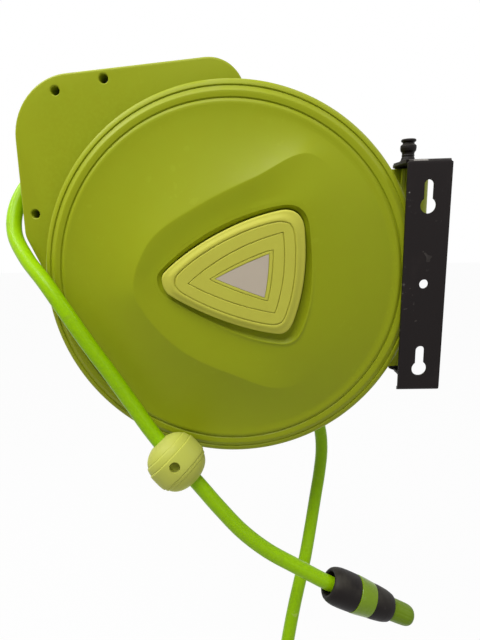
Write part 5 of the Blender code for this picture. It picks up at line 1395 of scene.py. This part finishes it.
# %% Screws
SCREWS = [(f"box_screw_{i + 1}", spot, -1, RECESS_FLOOR, 0.018)
          for i, spot in enumerate(BOX_SCREWS)]
SCREWS += [(f"lug_screw_{i + 1}", spot, 1, LUG_FLOOR, 0.010)
           for i, spot in enumerate(LUG_SCREWS)]
for node, (x, z), entry, seat, reach in SCREWS:
    head = seat + FIT
    screw = lathe("driven_" + node, [
        (0, head + 0.0014), (0.0010, head + 0.0014), (0.0016, head + 0.0024),
        (0.0024, head + 0.0030), (0.0036, head + 0.0026), (0.0040, head + 0.0018),
        (0.0040, head), (0.0020, head), (0.0020, -reach), (0, -reach)],
        (x, 0, z), FRONT * -entry, 32, 0.00015)
    dress(screw, "steel", "reel", node)
print(len(SCREWS), "screws")

# %% [markdown]
# ## The outlet
#
# A black frame with a lip is let into the box's left wall. Four rollers on steel pins form a
# square throat, so the hose can be pulled out in any direction and never rubs on plastic.

# %% The outlet's frame
HOSE_LOWEST, HOSE_HIGHEST, HOSE_SIDEWAYS = 0.13105, 0.13475, 0.01025
ROLLER_R, SIDE_ROLLER_R, PIN_R = 0.006, 0.0055, 0.002
CROSS_X, SIDE_X = BOX_LEFT + 0.021, BOX_LEFT + 0.007
LOWER_Z = HOSE_LOWEST - HOSE_R - ROLLER_R
UPPER_Z = HOSE_HIGHEST + HOSE_R + ROLLER_R
SIDE_OUT = HOSE_SIDEWAYS + HOSE_R + SIDE_ROLLER_R
FRAME_LONG = 0.028


def frame_outline(grow, ease):
    """The cage's outline, grown or drawn in, with rounded corners."""
    wide = CAGE_HALF + grow
    return [(wide, CAGE_HIGH + grow, ease), (-wide, CAGE_HIGH + grow, ease),
            (-wide, CAGE_LOW - grow, ease), (wide, CAGE_LOW - grow, ease)]


def cage():
    """The frame: a short tube with a lip, joined and cut through."""
    body = raw_slab("frame_tube", frame_outline(0, 0.003), BOX_LEFT, BOX_LEFT + FRAME_LONG,
                    ACROSS, 0.0006)
    lip = raw_slab("frame_lip", frame_outline(0.0028, 0.0055), LIP_AT, LIP_AT + 0.0025,
                   ACROSS, 0.0004)
    throat = raw_slab("throat", frame_outline(-CAGE_WALL, 0.004), BOX_LEFT - 0.01,
                      BOX_LEFT + 0.05, ACROSS)
    carve(body, [lip], "UNION")
    carve(body, [throat])
    body.name = "outlet_guide"
    return soften(moved(body, DRUM_AT), 0.0006, 3)


dress(cage(), "moulded_black", "reel", "outlet_frame")
print("the throat is", round(2 * (CAGE_HALF - CAGE_WALL), 4), "m wide")


# %% Rollers and their pins
def roller(name, at, axis, radius, half):
    """A sleeve with eased ends, slightly waisted so that the hose stays in the middle."""
    inner, end = PIN_R + FIT, 0.0012
    return lathe(name, [
        (inner, half), (radius - end, half), (radius, half - end), (radius - 0.0005, 0),
        (radius, -half + end), (radius - end, -half), (inner, -half)],
        at, axis, 40, 0.0005, True)


cage_half_high = (CAGE_HIGH - CAGE_LOW) / 2
half_cross, half_side = (half - CAGE_WALL - 0.0010 for half in (CAGE_HALF, cage_half_high))
middle_z = (CAGE_HIGH + CAGE_LOW) / 2
SET_OF_ROLLERS = (
    ("lower", (CROSS_X, 0, LOWER_Z), (0, 1, 0), ROLLER_R, half_cross),
    ("upper", (CROSS_X, 0, UPPER_Z), (0, 1, 0), ROLLER_R, half_cross),
    ("front", (SIDE_X, -SIDE_OUT, middle_z), (0, 0, 1), SIDE_ROLLER_R, half_side),
    ("rear", (SIDE_X, SIDE_OUT, middle_z), (0, 0, 1), SIDE_ROLLER_R, half_side))
for name, at, axis, radius, half in SET_OF_ROLLERS:
    dress(roller("guide_roller_" + name, at, axis, radius, half), "drum_grey",
          "roller_" + name, "roller_" + name)
    reach = (CAGE_HALF if axis[1] else cage_half_high) - 0.0004
    dress(lathe("roller_pin_" + name, [
        (0, reach), (PIN_R, reach), (PIN_R, -reach), (0, -reach)], at, axis, 32, 0.0003),
        "steel", "reel", "guide_pin_" + name)
print("four rollers on four pins")

# %% [markdown]
# ## The stopper ball
#
# The ball keeps the hose's end outside the housing. It is two moulded halves clamped round the
# hose, with bands about the hose's line that step down towards its ends, and a recess for the
# grub screw. It starts as one turned piece with a full barrel's silhouette, the steps let into
# it. The piece is parted along its length into a near and a far half, each half is closed over
# the cut, and both are bored with the hose's own form, so that the bore follows its bend.

# %% Find the ball's place on the leader
def walk_to(knots, distance, before=None):
    """The point on a hose's line at a distance from its start."""
    points, ways = tangents(knots, before)
    travelled, last = 0.0, points[0]
    for i in range(len(points) - 1):
        a, d = points[i], points[i + 1]
        b, c = a + ways[i], d - ways[i + 1]
        for step in range(1, 41):
            t = step / 40
            here = (a * (1 - t) ** 3 + b * 3 * t * (1 - t) ** 2 + c * 3 * t * t * (1 - t)
                    + d * t ** 3)
            length = (here - last).length
            if travelled + length >= distance:
                return last.lerp(here, (distance - travelled) / length)
            travelled, last = travelled + length, here
    return last


BALL_AT, RECESS_RISE = 0.393, 0.42
ball_centre = walk_to(leader_knots, BALL_AT, RUN_ROUTE[-1])
ball_along = (walk_to(leader_knots, BALL_AT + 0.010, RUN_ROUTE[-1]) - ball_centre).normalized()
ball_out = FRONT + UP * RECESS_RISE
ball_out = (ball_out - ball_along * ball_out.dot(ball_along)).normalized()
print("ball at", [round(c, 4) for c in ball_centre])


# %% The ball's silhouette and the form of its bore
BALL_HALF, BARREL_R, BARREL_HALF = 0.0285, 0.0308, 0.0295
BANDS = ((-0.0169, -1), (-0.0089, -1), (0.0112, 1), (0.0150, 1))
BAND_STEP, BAND_LIP, SLICE = 0.0009, 0.0003, 0.0003
print("a ball", 2 * BARREL_R, "m across and", 2 * BALL_HALF, "m long, with", len(BANDS), "bands")


def ball_profile():
    """A full barrel of a ball whose bands step down towards its flat ends."""
    profile, height = [(0, BALL_HALF)], BALL_HALF
    while height >= -BALL_HALF - 1e-9:
        full = BARREL_R * (1 - abs(height / BARREL_HALF) ** 3) ** 0.4545
        sunk = 0.0
        for edge, way in BANDS:
            beyond = (height - edge) * way
            sunk += BAND_STEP * float(smoothstep((beyond + 0.0004) / 0.0012))
            sunk += BAND_LIP * max(0.0, 1 - ((beyond - 0.0006) / 0.0008) ** 2)
        profile.append((full - sunk, height))
        height -= SLICE
    return [*profile, (0, -BALL_HALF)]


def curve_mesh(name, knots, radius):
    """A hose's form as a cutter in reel coordinates."""
    drawn = hose(name, knots, radius, before=RUN_ROUTE[-1], rounds=10)
    mesh = baked(drawn)
    bpy.data.objects.remove(drawn)
    shape = bmesh.new()
    shape.from_mesh(mesh)
    bmesh.ops.remove_doubles(shape, verts=shape.verts, dist=0.000001)
    bmesh.ops.recalc_face_normals(shape, faces=shape.faces)
    bmesh.ops.translate(shape, vec=-DRUM_AT, verts=shape.verts)
    return open_piece(name, shape)


# %% Part, close and bore the ball
RECESS_WIDE, RECESS_AT, THREAD_R, THREAD_DEEP = 0.0056, 0.0200, 0.0028, 0.0195


def ball_half(name, way):
    """The near or the far half, bored for the hose; the near one also for its screw."""
    made = raw_lathe(name, ball_profile(), ball_centre, ball_along, 112, 0)
    shape = bmesh.new()
    shape.from_mesh(made.data)
    bpy.data.objects.remove(made)
    cut_at = ball_centre + ball_out * way * 0.0002
    found = bmesh.ops.bisect_plane(
        shape, geom=shape.verts[:] + shape.edges[:] + shape.faces[:], plane_co=cut_at,
        plane_no=ball_out * way, clear_inner=True)
    rim = [g for g in found["geom_cut"] if isinstance(g, bmesh.types.BMEdge)]
    bmesh.ops.edgeloop_fill(shape, edges=rim)
    bmesh.ops.recalc_face_normals(shape, faces=shape.faces)
    half = open_piece(name, shape)
    tools = [curve_mesh("ball_bore", leader_knots, HOSE_R + FIT)]
    if way > 0:
        tools += [raw_drill("recess", RECESS_WIDE, ball_centre + ball_out * RECESS_AT,
                            ball_centre + ball_out * 2 * RECESS_AT),
                  raw_drill("thread", THREAD_R, ball_centre,
                            ball_centre + ball_out * THREAD_DEEP)]
    return soften(moved(carve(half, tools), DRUM_AT), 0.0005, 2, 45)


ball_near = dress(ball_half("ball_near", 1), "pale_green", "reel", "stop_ball_front",
                  material=PALE_BALL)
ball_far = dress(ball_half("ball_far", -1), "pale_green", "reel", "stop_ball_rear",
                 material=PALE_BALL)
grub = dress(lathe("grub_screw", [
    (0, 0.0172), (0.0011, 0.0172), (0.0011, 0.0188), (0.0021, 0.0188), (0.0025, 0.0182),
    (0.0025, 0.0096), (0.0018, 0.0091), (0, 0.0091)], ball_centre, ball_out, 32, 0.0001),
    "steel", "reel", "ball_screw")
print("ball halves", len(ball_near.data.polygons), len(ball_far.data.polygons), "faces")

# %% [markdown]
# ## The nozzle
#
# The spray nozzle is all turned: a soft black collar that the hose runs into, a lime band, a
# tapering black body and a lime tip that twists to change the spray. Very shallow flutes round
# the tip give fingers a hold. They are pressed in by moving vertices towards the axis with a
# smooth wave, which keeps the grid of the turned piece.

# %% Press flutes into a turned piece
def flute(made, axis_at, axis, low, high, count, depth):
    """Press flutes into a turned piece's outside, between two heights along its axis."""
    origin = Vector(axis_at) + DRUM_AT
    frame_turn = facing(axis).to_3x3()
    across, up_way = frame_turn @ Vector((1, 0, 0)), frame_turn @ Vector((0, 1, 0))
    for vert in made.data.vertices:
        offset = vert.co - origin
        height = offset.dot(axis)
        fade = min(1, max(0, min(height - low, high - height) / 0.003))
        spoke = offset - axis * height
        if fade <= 0 or spoke.length < HOSE_R + 0.002:
            continue
        turn = math.atan2(spoke.dot(up_way), spoke.dot(across))
        wave = max(0.0, math.cos(turn * count)) ** 2
        vert.co -= spoke.normalized() * depth * wave * float(smoothstep(fade))


# %% The nozzle's four pieces
collar = lathe("nozzle_grip", [
    (0.0112, 0.0090), (0.0128, 0.0010), (0.0138, 0), (0.0156, 0), (0.0172, 0.0014),
    (0.0186, 0.0040), (0.0195, 0.0070), (0.0202, 0.0110), (0.0204, 0.0180), (0.02035, 0.0250),
    (0.0202, 0.0300), (0.0200, 0.0318), (0.0195, 0.0324), (0.0092, 0.0324), (0.0092, 0.0120)],
    NOZZLE_MOUTH, NOZZLE_WAY, 144, 0.0004, True)
dress(collar, "moulded_black", "reel", "nozzle_collar")
band = dress(lathe("nozzle_ring", [
    (0.0088, 0.0327), (0.0197, 0.0327), (0.0203, 0.0332), (0.0203, 0.0340), (0.0202, 0.0380),
    (0.0198, 0.0430), (0.0192, 0.0490), (0.0188, 0.0530), (0.0185, 0.0534), (0.0088, 0.0534)],
    NOZZLE_MOUTH, NOZZLE_WAY, 96, 0.0002, True), "hose_green", "reel", "nozzle_band",
    material=BAND_LIME)
body = dress(lathe("nozzle_barrel", [
    (0.0030, 0.0223), (0.0085, 0.0223), (0.0085, 0.0537), (0.0181, 0.0537), (0.0186, 0.0542),
    (0.0184, 0.0600), (0.0179, 0.0650), (0.0172, 0.0710), (0.0163, 0.0750), (0.0152, 0.0785),
    (0.0136, 0.0800), (0.0080, 0.0800), (0.0080, 0.0920), (0.0030, 0.0920)],
    NOZZLE_MOUTH, NOZZLE_WAY, 96, 0.0003, True), "moulded_black", "reel", "nozzle_body")
tip = lathe("twist_tip", [
    (0.0083, 0.0803), (0.0120, 0.0803), (0.0124, 0.0808), (0.0123, 0.0850), (0.0122, 0.0900),
    (0.0120, 0.0970), (0.0118, 0.1015), (0.0113, 0.1045), (0.0105, 0.1068), (0.0094, 0.1084),
    (0.0086, 0.1090), (0.0042, 0.1090), (0.0038, 0.1080), (0.0038, 0.0924), (0.0083, 0.0924)],
    NOZZLE_MOUTH, NOZZLE_WAY, 120, 0.0003, True)
flute(tip, NOZZLE_MOUTH, NOZZLE_WAY, 0.0815, 0.1065, 12, 0.0003)
dress(tip, "hose_green", "tip", "nozzle_tip", material=TIP_LIME)
print("nozzle ends at", [round(c, 4) for c in NOZZLE_MOUTH + NOZZLE_WAY * 0.109])

# %% [markdown]
# ## Gland, tie and tap connector
#
# A rubber gland seals the inlet hose where it enters the side wall. The spare hose is coiled and
# held by a strap, and ends in a push-fit connector for a garden tap, whose nut is ribbed so that
# wet hands can turn it.

# %% The inlet's rubber and the coil's fittings
dress(lathe("inlet_gland", [
    (0.00855, 0.1920), (0.01120, 0.1920), (0.0126, 0.1908), (0.0126, 0.1886), (0.0112, 0.1886),
    (0.0112, 0.1838), (0.0134, 0.1838), (0.0134, 0.1816), (0.00855, 0.1816)],
    (0, INLET_BACK, 0), INLET_WAY, 64, 0.0004, True), "rubber_black", "reel", "inlet_grommet")
strap_x = COIL_CENTRE.x + COIL_R
grow = HOSE_R + 0.0005
near, far = COIL_CENTRE.y - grow, COIL_CENTRE.y + 2 * COIL_PITCH + grow
right_side, left_side = strap_x + grow, strap_x - grow - 0.0009


def strap_outline(grow, radius):
    """The strap's room round the turns, or its outside, as rounded corners."""
    return [(right_side + grow, far + grow, radius), (left_side - grow, far + grow, radius),
            (left_side - grow, near - grow, radius), (right_side + grow, near - grow, radius)]


strap = raw_slab("coil_strap", strap_outline(0.0016, 0.0068), COIL_CENTRE.z - 0.005,
                 COIL_CENTRE.z + 0.005, ON_PLAN)
carve(strap, [raw_slab("strap_room", strap_outline(0, 0.0055), COIL_CENTRE.z - 0.01,
                       COIL_CENTRE.z + 0.01, ON_PLAN)])
dress(soften(moved(strap, DRUM_AT), 0.0004, 2), "rubber_black", "reel", "coil_tie")
print("the strap is", round(far - near, 4), "m deep inside")

# %% The tap connector
hose_end = coil[-1] + straight
nut = lathe("tap_nut", [
    (0, 0.0003), (0.00855, 0.0003), (0.00855, -0.0040), (0.0100, -0.0034), (0.0126, 0.0),
    (0.0138, 0.0014), (0.0142, 0.0030), (0.0142, 0.0160), (0.0132, 0.0178), (0.0130, 0.0180),
    (0, 0.0180)], hose_end, UP, 144, 0.0004)
flute(nut, hose_end, UP, 0.0015, 0.0165, 18, 0.0008)
dress(nut, "moulded_black", "reel", "connector_nut")
socket = dress(lathe("tap_socket_body", [
    (0, 0.0183), (0.0146, 0.0183), (0.0150, 0.0188), (0.0150, 0.0305), (0.0154, 0.0314),
    (0.0168, 0.0326), (0.0172, 0.0334), (0.0172, 0.0462), (0.0165, 0.0480), (0.0114, 0.0480),
    (0.0110, 0.0476), (0.0110, 0.0340), (0, 0.0340)], hose_end, UP, 80, 0.0003),
    "hose_green", "reel", "connector_body", material=BAND_LIME)
print("connector stands", round(hose_end.z + DRUM_AT.z, 3), "high")

# %% [markdown]
# ## Floor and light
#
# The photograph is a cut-out on white, lit softly from above. One large lamp above and in front
# gives the plastic its shape, a weaker one fills from the right, and two small ones from the
# sides run along the rims. An even grey sky keeps the shadows open. To the camera, and in
# reflections, the sky and floor are white, which costs the object no colour; the floor keeps a
# little of the object's shadow.

# %% Floor
FLOOR_WHITENESS, FLOOR_GAP = 0.965, 0.002
floor_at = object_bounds()[0][2] - FLOOR_GAP
floor_shape = bmesh.new()
bmesh.ops.create_grid(floor_shape, x_segments=1, y_segments=1, size=6)
bmesh.ops.translate(floor_shape, vec=(0, 0, floor_at), verts=floor_shape.verts)
floor = open_piece("pale_floor", floor_shape)


def white_to_camera(tree):
    """One where the ray comes from the camera or from a reflection."""
    path = add_node(tree, "LightPath").outputs
    direct = calc(tree, "MAXIMUM", path["Is Camera Ray"], path["Is Glossy Ray"])
    return calc(tree, "MAXIMUM", direct, path["Is Transmission Ray"])


paint, tree, shader = new_material("studio_floor")
shader.inputs["Base Color"].default_value = (0.8, 0.8, 0.8, 1)
shader.inputs["Roughness"].default_value = 1.0
shader.inputs["Specular IOR Level"].default_value = 0.0
glow = add_node(tree, "Emission", None, {"Color": (1, 1, 1, 1), "Strength": 1.0})
whiteness = calc(tree, "MULTIPLY", white_to_camera(tree), FLOOR_WHITENESS)
seen_floor = add_node(tree, "MixShader", None, {
    0: whiteness, 1: shader.outputs[0], 2: glow.outputs[0]})
tree.links.new(seen_floor.outputs[0], tree.nodes["Material Output"].inputs["Surface"])
floor.data.materials.append(paint)
print("the floor lies at", round(floor_at, 4), "m")

# %% Sky and lamps
sky = bpy.data.worlds.new("studio_sky")
sky.use_nodes = True
scene.world = sky
tree = sky.node_tree
ambient = tree.nodes["Background"]
ambient.inputs["Color"].default_value = (1, 1, 1, 1)
ambient.inputs["Strength"].default_value = 0.17
white = add_node(tree, "Background", None, {"Color": (1, 1, 1, 1), "Strength": 1.0})
mixed = add_node(tree, "MixShader", None, {
    0: white_to_camera(tree), 1: ambient.outputs[0], 2: white.outputs[0]})
tree.links.new(mixed.outputs[0], tree.nodes["World Output"].inputs["Surface"])


def lamp(name, place, target, size, power):
    """A soft rectangular lamp at a place, facing a target."""
    light = bpy.data.lights.new(name, "AREA")
    light.shape = "RECTANGLE"
    light.size, light.size_y = size
    light.energy = power
    holder = bpy.data.objects.new(name, light)
    scene.collection.objects.link(holder)
    place, target = Vector(place), Vector(target)
    holder.matrix_world = Matrix.Translation(place) @ facing(place - target)


lamp("key_above", (-0.50, -0.84, 1.42), (-0.2, 0.05, -0.02), (1.1, 0.8), 24.3)
lamp("fill_right", (1.2, -1.6, 0.4), (-0.1, 0.05, -0.15), (1.2, 1.4), 3.6)
lamp("edge_left", (-1.1, 0.02, 1.0), (-0.1, 0, 0.05), (0.7, 0.5), 11)
lamp("edge_right", (0.9, 0.1, 1.1), (0.0, 0, 0.15), (0.5, 0.5), 4)
scene.view_settings.view_transform = "Standard"
print("four lamps, white floor and sky")
